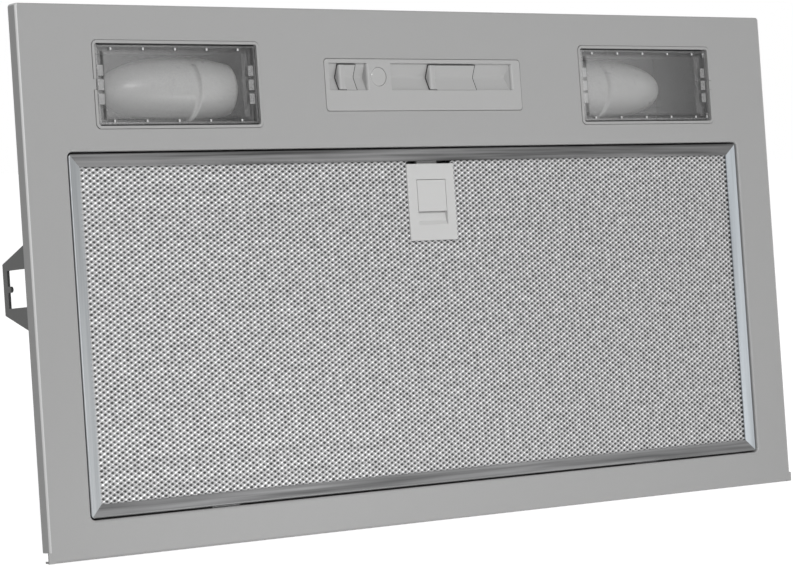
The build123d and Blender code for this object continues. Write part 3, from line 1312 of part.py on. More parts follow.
def make_filter_layer(name, front, back):
    """One layer of the filter's packing, cut out for the latch."""
    with BuildPart() as layer:
        with BuildSketch(facing(front)):
            with Locations((0, FILTER_MID)):
                RectangleRounded(
                    FILTER_WIDTH - 2 * RAIL_SHEET, FILTER_HEIGHT - 2 * RAIL_SHEET, RAIL_CORNER - RAIL_SHEET
                )
            with Locations((0, (LATCH_BOTTOM + FILTER_TOP) / 2)):
                Rectangle(LATCH_WIDTH, FILTER_TOP - LATCH_BOTTOM, mode=Mode.SUBTRACT)
        extrude(amount=-(back - front))
    finish(layer, name)


make_filter_layer("filter_front_mesh", RAIL_INNER + RAIL_SHEET, CORE_FRONT)
make_filter_layer("filter_core", CORE_FRONT, FILTER_BACK - RAIL_SHEET - MESH_SHEET)
make_filter_layer("filter_rear_mesh", FILTER_BACK - RAIL_SHEET - MESH_SHEET, FILTER_BACK - RAIL_SHEET)

with BuildPart() as filter_hooks:
    with BuildSketch(facing(HOOK_DEPTH)):
        with Locations((0, FILTER_BOTTOM - HOOK_REACH / 2)):
            with GridLocations(HOOK_SPACING, 1, 2, 1):
                Rectangle(HOOK_WIDTH, HOOK_REACH)
    extrude(amount=-HOOK_SHEET)
finish(filter_hooks, "filter_hooks")

# ================================================================ filter latch
with BuildPart() as latch_plate:
    with BuildSketch(facing(LATCH_FRONT)):
        with Locations((0, (LATCH_TOP + LATCH_BOTTOM) / 2)):
            Rectangle(LATCH_WIDTH, LATCH_TOP - LATCH_BOTTOM)
    extrude(amount=-(LATCH_BACK - LATCH_FRONT))
    fillet(latch_plate.faces().sort_by(Axis.Y)[0].edges(), radius=LATCH_EDGE)
    with BuildSketch(across(-TAB_WIDTH / 2 - LATCH_GAP)):       # pocket of the tab and the finger recess
        with BuildLine():
            Polyline(
                at(0, TAB_TOP + LATCH_GAP),
                at(POCKET_DEPTH, TAB_TOP + LATCH_GAP),
                at(POCKET_DEPTH, TAB_BOTTOM + LATCH_GAP / 2),
                at(RECESS_DEPTH, TAB_BOTTOM + LATCH_GAP / 2),
                at(RECESS_DEPTH - RECESS_RISE, RECESS_BOTTOM + RECESS_RAMP),
                at(LATCH_FRONT + LATCH_GAP, RECESS_BOTTOM),
                at(0, RECESS_BOTTOM),
                close=True,
            )
        make_face()
    extrude(amount=TAB_WIDTH + 2 * LATCH_GAP, mode=Mode.SUBTRACT)
    with BuildSketch(facing(TONGUE_FRONT - LATCH_GAP)):         # channel of the tongue, open at the top
        with Locations((0, (LATCH_TOP + SPRING_TOP - LATCH_TRAVEL) / 2)):
            Rectangle(TONGUE_WIDTH + 2 * LATCH_GAP, LATCH_TOP - SPRING_TOP + LATCH_TRAVEL)
    extrude(amount=-(TONGUE_THICK + 2 * LATCH_GAP), mode=Mode.SUBTRACT)
    with BuildSketch(Plane.XY.offset(SPRING_BOTTOM)):           # pocket of the spring
        with Locations((0, FACE_Y + SPRING_DEPTH)):
            Circle(SPRING_RADIUS + LATCH_GAP)
    extrude(amount=SPRING_TOP - SPRING_BOTTOM, mode=Mode.SUBTRACT)
finish(latch_plate, "latch_plate")

with BuildPart() as latch_tab:
    with BuildSketch(across(-TAB_WIDTH / 2)):
        with BuildLine():
            Polyline(
                at(LATCH_FRONT, TAB_TOP),
                at(TONGUE_FRONT, TAB_TOP),
                at(TONGUE_FRONT, TAB_BOTTOM + TAB_ROOT + TONGUE_THICK),
                at(LATCH_FRONT + TAB_THICK, TAB_BOTTOM + TAB_ROOT),
                at(LATCH_FRONT + TAB_THICK, TAB_BOTTOM),
                at(LATCH_FRONT, TAB_BOTTOM),
                close=True,
            )
        make_face()
    extrude(amount=TAB_WIDTH)
    with BuildSketch(facing(TONGUE_FRONT)):
        with Locations((0, (FILTER_TOP + SPRING_TOP + LATCH_GAP) / 2)):
            Rectangle(TONGUE_WIDTH, FILTER_TOP - SPRING_TOP - LATCH_GAP)
    extrude(amount=-TONGUE_THICK)
finish(latch_tab, "latch_tab")

with BuildPart() as latch_spring:
    with BuildLine(Plane((0, FACE_Y + SPRING_DEPTH, SPRING_BOTTOM + SPRING_WIRE))) as coil:
        Helix(
            pitch=(SPRING_TOP - SPRING_BOTTOM - 2 * SPRING_WIRE) / SPRING_TURNS,
            height=SPRING_TOP - SPRING_BOTTOM - 2 * SPRING_WIRE,
            radius=SPRING_RADIUS - SPRING_WIRE / 2,
        )
    with BuildSketch(Plane(coil.line @ 0, z_dir=coil.line % 0)):
        RegularPolygon(SPRING_WIRE, 6)
    sweep(is_frenet=True)
finish(latch_spring, "latch_spring")
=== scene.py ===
"""Range hood insert with its looks: steel face, mesh filter, lamps, slide controls and blower box.

Lengths are metres in the model's own frame: X along the face, Y into the cabinet, Z up the face.
"""
import math

import bpy
import numpy as np
from mathutils import Matrix, Vector


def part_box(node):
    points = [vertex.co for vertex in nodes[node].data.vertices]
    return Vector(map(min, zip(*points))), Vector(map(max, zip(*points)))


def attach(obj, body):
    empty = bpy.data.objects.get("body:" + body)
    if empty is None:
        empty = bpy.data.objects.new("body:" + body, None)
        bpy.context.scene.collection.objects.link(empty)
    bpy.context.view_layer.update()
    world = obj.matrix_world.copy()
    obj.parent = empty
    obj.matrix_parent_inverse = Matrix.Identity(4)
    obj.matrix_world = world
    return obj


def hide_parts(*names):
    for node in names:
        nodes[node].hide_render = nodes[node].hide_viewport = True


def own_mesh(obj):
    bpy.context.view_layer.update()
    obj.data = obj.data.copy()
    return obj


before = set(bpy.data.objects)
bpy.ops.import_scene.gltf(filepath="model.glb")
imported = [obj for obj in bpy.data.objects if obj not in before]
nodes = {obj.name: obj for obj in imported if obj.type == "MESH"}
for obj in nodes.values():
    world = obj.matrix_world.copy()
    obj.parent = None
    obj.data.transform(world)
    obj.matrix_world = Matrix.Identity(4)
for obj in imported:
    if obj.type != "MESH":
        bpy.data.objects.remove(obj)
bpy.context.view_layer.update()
scene = bpy.context.scene
scene.view_settings.view_transform = "Standard"

# ================================================================ the photograph's view
# The insert stands on its lower edge and leans back onto its motor housing, so the floor is a
# plane that tilts by the lean. The camera is level with that floor, to the left of the face and a
# little above it.
LEAN = math.radians(6.35)
CAMERA_PLACE = Vector((-1.0196, -1.3017, 0.0969))
CAMERA_HEADING = math.radians(37.448)       # to the right of straight at the face
CAMERA_DIP = math.radians(3.773)            # below the floor's level
LENS = 133.47
camera = bpy.data.objects.new("camera", bpy.data.cameras.new("camera"))
scene.collection.objects.link(camera)
camera.data.lens = LENS
camera.matrix_world = (
    Matrix.Translation(CAMERA_PLACE)
    @ Matrix.Rotation(LEAN, 4, "X")
    @ Matrix.Rotation(-CAMERA_HEADING, 4, "Z")
    @ Matrix.Rotation(math.radians(90) - CAMERA_DIP, 4, "X")
)
scene.camera = camera

# ================================================================ floor and light
# Seamless white studio floor, one soft light in front and a little to the left, and two weak
# ones: above, and close over the floor before the lower edge. The white surround also shows in
# metal and glass.
FLOOR_SIZE = 12.0
FLOOR_COLOUR = (0.9, 0.9, 0.9, 1)
FLOOR_GLOW = 0.84                           # for the camera and reflections, on top of the light
SURROUND_LIGHT = 0.25
LIGHTS = {                                  # soft lights: place, aim, width, height and power
    "key_light": ((-0.6, -1.95, 0.8), (-0.05, 0, 0.12), 0.5, 0.35, 16.5),
    "top_light": ((-0.1, -1.9, 1.3), (0.0, 0, 0.12), 1.0, 1.0, 5.0),
    "low_light": ((0.1, -0.42, -0.015), (0.03, 0, 0.02), 0.3, 0.03, 0.28),
}


def link_mesh(name, mesh):
    """Object at the origin for a finished mesh."""
    thing = bpy.data.objects.new(name, mesh)
    scene.collection.objects.link(thing)
    return thing


def new_material(name):
    """Empty node material and its Principled shader, with the output linked."""
    material = bpy.data.materials.new(name)
    material.use_nodes = True
    return material, material.node_tree.nodes["Principled BSDF"]


def add_node(tree, kind, **values):
    """Node with attributes and input defaults set by name; an underscore stands for a space."""
    made = tree.nodes.new(kind)
    for key, value in values.items():
        if hasattr(made, key):
            setattr(made, key, value)
        else:
            made.inputs[key.replace("_", " ")].default_value = value
    return made


def join(tree, *links):
    """Link node outputs to inputs; each link is node, output, node, input."""
    for source, output, target, socket in links:
        tree.links.new(source.outputs[output], target.inputs[socket])


def seen_rays(tree, unseen, seen):
    """Value node: one level for light's own rays, another for camera, glossy and clear rays."""
    rays = add_node(tree, "ShaderNodeLightPath")
    direct = add_node(tree, "ShaderNodeMath", operation="MAXIMUM")
    either = add_node(tree, "ShaderNodeMath", operation="MAXIMUM")
    level = add_node(tree, "ShaderNodeMapRange", To_Min=unseen, To_Max=seen)
    join(
        tree,
        (rays, "Is Camera Ray", direct, 0),
        (rays, "Is Glossy Ray", direct, 1),
        (direct, 0, either, 0),
        (rays, "Is Transmission Ray", either, 1),
        (either, 0, level, "Value"),
    )
    return level


floor_mesh = bpy.data.meshes.new("studio_floor")
half = FLOOR_SIZE / 2
floor_turn = Matrix.Rotation(LEAN, 3, "X")
floor_corners = ((-half, -half), (half, -half), (half, half), (-half, half))
floor_mesh.from_pydata(
    [floor_turn @ Vector((x, y, 0)) for x, y in floor_corners], [], [(0, 1, 2, 3)]
)
studio_floor = link_mesh("studio_floor", floor_mesh)
floor_paint, floor_shader = new_material("floor_paint")
floor_shader.inputs["Base Color"].default_value = FLOOR_COLOUR
floor_shader.inputs["Roughness"].default_value = 0.9
floor_shader.inputs["Specular IOR Level"].default_value = 0.0
floor_shader.inputs["Emission Color"].default_value = (1, 1, 1, 1)
floor_glow = seen_rays(floor_paint.node_tree, 0.0, FLOOR_GLOW)
join(floor_paint.node_tree, (floor_glow, "Result", floor_shader, "Emission Strength"))
floor_mesh.materials.append(floor_paint)

surround = bpy.data.worlds.new("surround")
surround.use_nodes = True
scene.world = surround
background = surround.node_tree.nodes["Background"]
background.inputs["Color"].default_value = (1, 1, 1, 1)
surround_level = seen_rays(surround.node_tree, SURROUND_LIGHT, 1.0)
join(surround.node_tree, (surround_level, "Result", background, "Strength"))

for name, (place, aim, width, height, power) in LIGHTS.items():
    lamp = bpy.data.lights.new(name, "AREA")
    lamp.shape = "RECTANGLE"
    lamp.size = width
    lamp.size_y = height
    lamp.energy = power
    light = bpy.data.objects.new(name, lamp)
    scene.collection.objects.link(light)
    light.location = place
    light.rotation_euler = (Vector(aim) - Vector(place)).to_track_quat("-Z", "Y").to_euler()

# ================================================================ face panel
# Pressed sheet steel, powder coated in a silver grey that is matt with a very fine orange peel.
# The edge is folded back to the rim that seats on the cabinet, and its two outer bends carry a
# painted highlight.
PANEL_GREY = (0.385, 0.385, 0.384)
PANEL_COAT_ROUGHNESS = 0.28
# Painted highlight on the panel's two outer bends.
BEND_HIGHLIGHT_GREY = (0.68, 0.68, 0.68, 1)
BEND_X = 0.255                              # the outer bends lie further than this from the middle
BEND_TURN = (0.12, 0.93)                    # sideways part of the normal, at a bend's start and end
ROUGH_SPREAD = 0.08                         # of every grainy finish, up and down from its mean


def new_group(name, inputs, outputs):
    """Empty node group with its in and output nodes; inputs give name, socket kind and default."""
    group = bpy.data.node_groups.new(name, "ShaderNodeTree")
    for label, kind, default in inputs:
        group.interface.new_socket(label, in_out="INPUT", socket_type=kind).default_value = default
    for label, kind in outputs:
        group.interface.new_socket(label, in_out="OUTPUT", socket_type=kind)
    return group, add_node(group, "NodeGroupInput"), add_node(group, "NodeGroupOutput")


def grain_group():
    """Fine grain of paint, mouldings and rolled metal, and the colour and roughness it gives.

    The mask is a fractal noise of the given scale, read on Object coordinates stretched along the
    axes. The level runs from 0 to 1 while the mask runs from Low to High. It turns Dark into Light,
    and Smooth into Rough. The normal is the noise as a bump of the given height.
    """
    group, ends, out = new_group(
        "surface_grain",
        (
            ("Scale", "NodeSocketFloat", 1000.0),
            ("Height", "NodeSocketFloat", 0.00002),
            ("Stretch", "NodeSocketVector", (1, 1, 1)),
            ("Low", "NodeSocketFloat", 0.0),
            ("High", "NodeSocketFloat", 1.0),
            ("Dark", "NodeSocketColor", (0, 0, 0, 1)),
            ("Light", "NodeSocketColor", (1, 1, 1, 1)),
            ("Smooth", "NodeSocketFloat", 0.3),
            ("Rough", "NodeSocketFloat", 0.5),
        ),
        (
            ("Mask", "NodeSocketFloat"),
            ("Color", "NodeSocketColor"),
            ("Roughness", "NodeSocketFloat"),
            ("Normal", "NodeSocketVector"),
        ),
    )
    place = add_node(group, "ShaderNodeTexCoord")
    stretch = add_node(group, "ShaderNodeVectorMath", operation="MULTIPLY")
    noise = add_node(group, "ShaderNodeTexNoise")
    bump = add_node(group, "ShaderNodeBump", Strength=1.0)
    level = add_node(group, "ShaderNodeMapRange")
    shade = add_node(group, "ShaderNodeMix", data_type="RGBA")
    rough = add_node(group, "ShaderNodeMix")
    join(
        group,
        (place, "Object", stretch, 0),
        (ends, "Stretch", stretch, 1),
        (stretch, 0, noise, "Vector"),
        (ends, "Scale", noise, "Scale"),
        (ends, "Height", bump, "Distance"),
        (noise, "Fac", bump, "Height"),
        (noise, "Fac", level, "Value"),
        (ends, "Low", level, "From Min"),
        (ends, "High", level, "From Max"),
        (level, "Result", shade, "Factor"),
        (ends, "Dark", shade, "A"),
        (ends, "Light", shade, "B"),
        (level, "Result", rough, "Factor"),
        (ends, "Smooth", rough, "A"),
        (ends, "Rough", rough, "B"),
        (noise, "Fac", out, "Mask"),
        (shade, "Result", out, "Color"),
        (rough, "Result", out, "Roughness"),
        (bump, "Normal", out, "Normal"),
    )
    return group


SURFACE_GRAIN = grain_group()


def grainy(name, colour, roughness, metallic=0.0, tone=0.06, scale=900.0, height=0.00004,
           stretch=(1, 1, 1), coat=0.0, contrast=1.0):
    """Material whose colour, roughness and normal follow one grain; tone is the colour's spread."""
    material, shader = new_material(name)
    tree = material.node_tree
    dark, light = (tuple(c * (1 + way * tone) for c in colour) + (1,) for way in (-1, 1))
    grain = add_node(
        tree, "ShaderNodeGroup", node_tree=SURFACE_GRAIN,
        Scale=scale, Height=height, Stretch=stretch,
        Low=0.5 - 0.5 / contrast, High=0.5 + 0.5 / contrast, Dark=dark, Light=light,
        Smooth=roughness - ROUGH_SPREAD, Rough=roughness + ROUGH_SPREAD,
    )
    join(
        tree,
        (grain, "Color", shader, "Base Color"),
        (grain, "Roughness", shader, "Roughness"),
        (grain, "Normal", shader, "Normal"),
    )
    shader.inputs["Metallic"].default_value = metallic
    shader.inputs["Coat Weight"].default_value = coat
    return material


def paint_over(material, mask_group, colour, **limits):
    """Lay a second colour on a material where a group's mask is 1; limits are its inputs."""
    tree = material.node_tree
    shader = tree.nodes["Principled BSDF"]
    under = shader.inputs["Base Color"].links[0].from_node
    mask = add_node(tree, "ShaderNodeGroup", node_tree=mask_group, **limits)
    shade = add_node(tree, "ShaderNodeMix", data_type="RGBA")
    shade.inputs["B"].default_value = colour
    join(
        tree,
        (mask, "Mask", shade, "Factor"),
        (under, "Color", shade, "A"),
        (shade, "Result", shader, "Base Color"),
    )


def dress(material, *names):
    """Give CAD nodes a finish."""
    for name in names:
        for slot in nodes[name].material_slots:
            slot.material = material


def bend_group():
    """Mask of the painted highlight on the panel's two outer bends.

    It is 1 where the normal's sideways part lies between Start and End, and X further than Edge
    from 0.
    """
    group, ends, out = new_group(
        "bend_highlight_mask",
        (
            ("Start", "NodeSocketFloat", BEND_TURN[0]),
            ("End", "NodeSocketFloat", BEND_TURN[1]),
            ("Edge", "NodeSocketFloat", BEND_X),
        ),
        (("Mask", "NodeSocketFloat"),),
    )
    place = add_node(group, "ShaderNodeTexCoord")
    turn = add_node(group, "ShaderNodeVectorMath", operation="ABSOLUTE")
    turn_axes = add_node(group, "ShaderNodeSeparateXYZ")
    reach = add_node(group, "ShaderNodeVectorMath", operation="ABSOLUTE")
    reach_axes = add_node(group, "ShaderNodeSeparateXYZ")
    started = add_node(group, "ShaderNodeMath", operation="GREATER_THAN")
    before_end = add_node(group, "ShaderNodeMath", operation="LESS_THAN")
    outer = add_node(group, "ShaderNodeMath", operation="GREATER_THAN")
    bent = add_node(group, "ShaderNodeMath", operation="MULTIPLY")
    mask = add_node(group, "ShaderNodeMath", operation="MULTIPLY")
    join(
        group,
        (place, "Normal", turn, 0),
        (turn, 0, turn_axes, 0),
        (turn_axes, "X", started, 0),
        (ends, "Start", started, 1),
        (turn_axes, "X", before_end, 0),
        (ends, "End", before_end, 1),
        (place, "Object", reach, 0),
        (reach, 0, reach_axes, 0),
        (reach_axes, "X", outer, 0),
        (ends, "Edge", outer, 1),
        (started, 0, bent, 0),
        (before_end, 0, bent, 1),
        (bent, 0, mask, 0),
        (outer, 0, mask, 1),
        (mask, 0, out, "Mask"),
    )
    return group


panel_paint = grainy(
    "panel_paint", PANEL_GREY, 0.4, tone=0.03, scale=1400, height=0.00002, coat=0.12
)
panel_shader = panel_paint.node_tree.nodes["Principled BSDF"]
panel_shader.inputs["Coat Roughness"].default_value = PANEL_COAT_ROUGHNESS
# Painted highlight: the panel's two outer bends are coloured a lighter grey.
paint_over(panel_paint, bend_group(), BEND_HIGHLIGHT_GREY)
dress(panel_paint, "face_panel")

# ================================================================ tray, partition and ears
# Zinc coated sheet, folded and spot welded, with the crystal spangle of hot dip galvanising. The
# two stamped ears that clamp the insert in its cabinet are screwed to the tray's sides; their
# dark grey is painted shade, for the shadow they lie in behind the panel's edge.
SHEET_DARK = (0.42, 0.43, 0.44, 1)
SHEET_LIGHT = (0.56, 0.57, 0.58, 1)
SHEET_ROUGHNESS = (0.28, 0.5)               # from one crystal to another
SPANGLE_SCALE = 150.0
EAR_SHADE_GREY = (0.13, 0.132, 0.13)


def spangle_group():
    """Zinc crystals: the mask is one random grey for each cell of a Voronoi pattern."""
    group, ends, out = new_group(
        "zinc_spangle",
        (("Scale", "NodeSocketFloat", SPANGLE_SCALE),),
        (("Mask", "NodeSocketFloat"),),
    )
    place = add_node(group, "ShaderNodeTexCoord")
    cells = add_node(group, "ShaderNodeTexVoronoi")
    parts = add_node(group, "ShaderNodeSeparateColor")
    join(
        group,
        (place, "Object", cells, "Vector"),
        (ends, "Scale", cells, "Scale"),
        (cells, "Color", parts, "Color"),
        (parts, "Red", out, "Mask"),
    )
    return group


def galvanised_sheet():
    """Zinc coating: each crystal has its own grey and its own roughness under one fine grain."""
    material, shader = new_material("galvanised_sheet")
    tree = material.node_tree
    crystals = add_node(tree, "ShaderNodeGroup", node_tree=spangle_group())
    grain = add_node(tree, "ShaderNodeGroup", node_tree=SURFACE_GRAIN, Scale=600.0, Height=0.00002)
    shade = add_node(tree, "ShaderNodeMix", data_type="RGBA")
    shade.inputs["A"].default_value = SHEET_DARK
    shade.inputs["B"].default_value = SHEET_LIGHT
    rough = add_node(
        tree, "ShaderNodeMapRange", To_Min=SHEET_ROUGHNESS[0], To_Max=SHEET_ROUGHNESS[1]
    )
    join(
        tree,
        (crystals, "Mask", shade, "Factor"),
        (crystals, "Mask", rough, "Value"),
        (shade, "Result", shader, "Base Color"),
        (rough, "Result", shader, "Roughness"),
        (grain, "Normal", shader, "Normal"),
    )
    shader.inputs["Metallic"].default_value = 0.85
    return material


galvanised = galvanised_sheet()
# Painted shade: the ears are coloured dark grey for the shadow they lie in.
ear_paint = grainy("ear_paint", EAR_SHADE_GREY, 0.45, tone=0.06, scale=1200)
dress(galvanised, "body_tray", "partition", "motor_bracket")
dress(ear_paint, "side_ear_left", "side_ear_right")

# ================================================================ screws, shaft and nut
# Zinc plated steel screws hold ears, motor, housing and collar; the shaft and the flaps' pin are
# of bright steel too. The impeller sits on its shaft under a brass nut. All are turned or rolled,
# so they are smooth.
ZINC_GREY = (0.55, 0.55, 0.56)
BRASS_YELLOW = (0.62, 0.47, 0.2)
zinc_plate = grainy("zinc_plate", ZINC_GREY, 0.3, metallic=1.0, tone=0.08, scale=700)
brass_turned = grainy("brass_turned", BRASS_YELLOW, 0.3, metallic=1.0, tone=0.08, scale=700)
dress(zinc_plate, "ear_screws", "motor_screws", "housing_screws", "collar_screws")
dress(zinc_plate, "flap_pin", "motor_shaft")
dress(brass_turned, "impeller_nut")

# ================================================================ blower
# Inlet, guard and scroll are moulded in black polypropylene, as are the gland of the mains lead
# and the slide switches, and the wheel in a slightly lighter grade. The motor has a die cast
# shell and hangs from its bracket in rubber grommets.
MOULDING_BLACK = (0.025, 0.025, 0.026)
WHEEL_BLACK = (0.07, 0.07, 0.073)
CAST_GREY = (0.36, 0.36, 0.365)
RUBBER_BLACK = (0.02, 0.02, 0.02)
black_moulding = grainy("black_moulding", MOULDING_BLACK, 0.55, tone=0.15, scale=1100)
wheel_moulding = grainy("wheel_moulding", WHEEL_BLACK, 0.45, tone=0.1, scale=900)
cast_shell = grainy("cast_shell", CAST_GREY, 0.45, metallic=0.85, tone=0.12, scale=500)
grommet_rubber = grainy("grommet_rubber", RUBBER_BLACK, 0.75, tone=0.15, scale=1500)
dress(black_moulding, "inlet_ring", "inlet_guard", "scroll_wall")
dress(black_moulding, "cable_gland", "light_switch", "speed_switch")
dress(wheel_moulding, "impeller")
dress(cast_shell, "motor_body")
dress(grommet_rubber, "motor_grommets")

# ================================================================ motor housing, collar and flaps
# Injection moulded covers in dark grey, with the spark eroded texture that hides flow marks,
# screwed to the tray. The duct collar is a blacker moulding, and the two flaps that close it
# swing on one pin.
HOUSING_GREY = (0.10, 0.103, 0.107)
COLLAR_BLACK = (0.03, 0.03, 0.032)
FLAP_GREY = (0.24, 0.24, 0.245)
housing_moulding = grainy(
    "housing_moulding", HOUSING_GREY, 0.52, tone=0.14, scale=1300, height=0.00012, contrast=1.6
)
collar_moulding = grainy(
    "collar_moulding", COLLAR_BLACK, 0.42, tone=0.12, scale=1300, height=0.00006
)
flap_moulding = grainy("flap_moulding", FLAP_GREY, 0.5, tone=0.07, scale=1200)
dress(housing_moulding, "motor_housing", "terminal_box")
dress(collar_moulding, "outlet_collar")
dress(flap_moulding, "flap_left", "flap_right")

# ================================================================ mains terminals and board
# The mains block is white polyamide with screwed terminals, the capacitor an ivory can, and the
# slide switches are soldered to a brown paper laminate board.
POLYAMIDE_WHITE = (0.95, 0.95, 0.94)
CAN_IVORY = (0.62, 0.61, 0.55)
BOARD_BROWN = (0.23, 0.16, 0.07)
white_moulding = grainy("white_moulding", POLYAMIDE_WHITE, 0.35, tone=0.02, scale=900)
capacitor_can = grainy("capacitor_can", CAN_IVORY, 0.3, tone=0.04, scale=500)
board_laminate = grainy("board_laminate", BOARD_BROWN, 0.6, tone=0.2, scale=400, stretch=(1, 1, 4))
dress(white_moulding, "terminal_block")
dress(capacitor_can, "capacitor")
dress(board_laminate, "switch_board")

# ================================================================ lamps
# Each lamp is a box with a painted rim and a dull dark inside, a white socket at its inner end,
# an opal bulb screwed into it, and a clear styrene cover that snaps in. The cover's pan is finely
# pebbled, and its haze grows towards its left end; its rim is clear, and its ribs and clips carry
# a painted highlight.
LAMP_MIDDLE = (0.166, 0.2437)               # X of the right lamp, and Z of both
INSIDE_DEPTH = (-0.0058, -0.0050)           # Y over which the rim's paint turns to the dark inside
INSIDE_GREY = (0.05, 0.05, 0.051, 1)
RIM_GREY = (0.40, 0.40, 0.398, 1)
OPAL_GREY = (0.45, 0.45, 0.446)
RIM_START = (0.0489, 0.0196)                # half sizes of the cover inside its rim
PAN_END = (0.0456, 0.0183)                  # half sizes of its pan
RIB_FRONT = -0.0050                         # ribs and clips reach in front of this Y
# Rim, ribs and clips carry a painted highlight: near-opaque white for the light they catch.
RIM_SHARE, RIB_SHARE, CLIP_SHARE = 0.1, 1.0, 0.4       # how far each of them turns from pan to edge
COVER_CLEAR = 0.03                          # share of light the pan throws back between its pebbles
COVER_SPECKLE = 0.14                        # and on them
COVER_MIST = 0.15                           # added to both at the pan's left end
COVER_EDGE_HIGHLIGHT = 0.75                           # share that an edge throws back
PEBBLE_RANGE = (0.42, 0.64)                 # of the grain, from between the pebbles to their tops
PAN_WHITE = (0.72, 0.72, 0.72, 1)
EDGE_HIGHLIGHT_WHITE = (0.8, 0.8, 0.8, 1)
BULB_WIDEST = 0.026                         # from the end of the glass, which is round the socket
BULB_END_SHARE = 0.82                       # radius of that end, as a share of the largest
BULB_POWER = 2.3                            # of the tip's super-ellipse
SWELL_RINGS, TIP_RINGS = 14, 26
HOLDER_OUTLINE = (                          # shares of its length from the mouth, and of its radius
    (0, 0), (0, 0.9), (0.02, 0.98), (0.06, 1), (0.68, 1),
    (0.77, 0.96), (0.82, 0.84), (0.84, 0.5), (1, 0.5), (1, 0),
)
TURNED_SIDES = 64
POLE_SHARE = 0.001                          # of the radius, for the faces that close a turned piece


def lamp_box_paint():
    """Painted rim and dark inside, told apart by their depth behind the face."""
    material, shader = new_material("lamp_box_paint")
    tree = material.node_tree
    grain = add_node(
        tree, "ShaderNodeGroup", node_tree=SURFACE_GRAIN,
        Scale=1200.0, Height=0.00002, Smooth=0.4, Rough=0.55,
    )
    place = add_node(tree, "ShaderNodeTexCoord")
    axes = add_node(tree, "ShaderNodeSeparateXYZ")
    deep = add_node(tree, "ShaderNodeMapRange", From_Min=INSIDE_DEPTH[0], From_Max=INSIDE_DEPTH[1])
    shade = add_node(tree, "ShaderNodeMix", data_type="RGBA")
    shade.inputs["A"].default_value = RIM_GREY
    shade.inputs["B"].default_value = INSIDE_GREY
    join(
        tree,
        (place, "Object", axes, 0),
        (axes, "Y", deep, "Value"),
        (deep, "Result", shade, "Factor"),
        (shade, "Result", shader, "Base Color"),
        (grain, "Roughness", shader, "Roughness"),
        (grain, "Normal", shader, "Normal"),
    )
    return material


def beyond(tree, axes, limits, share):
    """Node that is the share where an axis is past its limit, and 0 elsewhere."""
    either = add_node(tree, "ShaderNodeMath", operation="MAXIMUM")
    either.inputs[1].default_value = 0
    scaled = add_node(tree, "ShaderNodeMath", operation="MULTIPLY")
    scaled.inputs[1].default_value = share
    for index, (axis, limit) in enumerate(limits.items()):
        outside = add_node(tree, "ShaderNodeMath", operation="GREATER_THAN")
        outside.inputs[1].default_value = limit
        join(tree, (axes, axis, outside, 0), (outside, 0, either, index))
    join(tree, (either, 0, scaled, 0))
    return scaled


def cover_group():
    """Masks of a lamp cover whose middle is given.

    Mask is the share of the painted highlight on the rim, ribs or clips, and 0 on the pan. A point
    belongs to the rim where its X or Z lies further from the middle than the channel reaches. It
    belongs to a rib or clip where it lies in the channel beside the pan and far enough in front.
    Mist falls evenly from the pan's left end to 0 at its right end.
    """
    group, ends, out = new_group(
        "cover_masks",
        (("Middle", "NodeSocketVector", (0, 0, 0)),),
        (("Mask", "NodeSocketFloat"), ("Mist", "NodeSocketFloat")),
    )
    place = add_node(group, "ShaderNodeTexCoord")
    centred = add_node(group, "ShaderNodeVectorMath", operation="SUBTRACT")
    size = add_node(group, "ShaderNodeVectorMath", operation="ABSOLUTE")
    axes = add_node(group, "ShaderNodeSeparateXYZ")
    rim = beyond(group, axes, {"X": RIM_START[0], "Z": RIM_START[1]}, 1.0)
    ribs = beyond(group, axes, {"Z": PAN_END[1]}, RIB_SHARE)
    clips = beyond(group, axes, {"X": PAN_END[0]}, CLIP_SHARE)
    offset = add_node(group, "ShaderNodeSeparateXYZ")
    ahead = add_node(group, "ShaderNodeMath", operation="LESS_THAN")
    ahead.inputs[1].default_value = RIB_FRONT
    blocks = add_node(group, "ShaderNodeMath", operation="MAXIMUM")
    raised = add_node(group, "ShaderNodeMath", operation="MULTIPLY")
    edge = add_node(group, "ShaderNodeMix")
    edge.inputs["B"].default_value = RIM_SHARE
    mist = add_node(
        group, "ShaderNodeMapRange",
        From_Min=-PAN_END[0], From_Max=PAN_END[0], To_Min=COVER_MIST, To_Max=0.0,
    )
    join(
        group,
        (place, "Object", centred, 0),
        (ends, "Middle", centred, 1),
        (centred, 0, size, 0),
        (size, 0, axes, 0),
        (centred, 0, offset, 0),
        (offset, "Y", ahead, 0),
        (ribs, 0, blocks, 0),
        (clips, 0, blocks, 1),
        (blocks, 0, raised, 0),
        (ahead, 0, raised, 1),
        (rim, 0, edge, "Factor"),
        (raised, 0, edge, "A"),
        (edge, 0, out, "Mask"),
        (offset, "X", mist, "Value"),
        (mist, "Result", out, "Mist"),
    )
    return group


COVER_MASKS = cover_group()


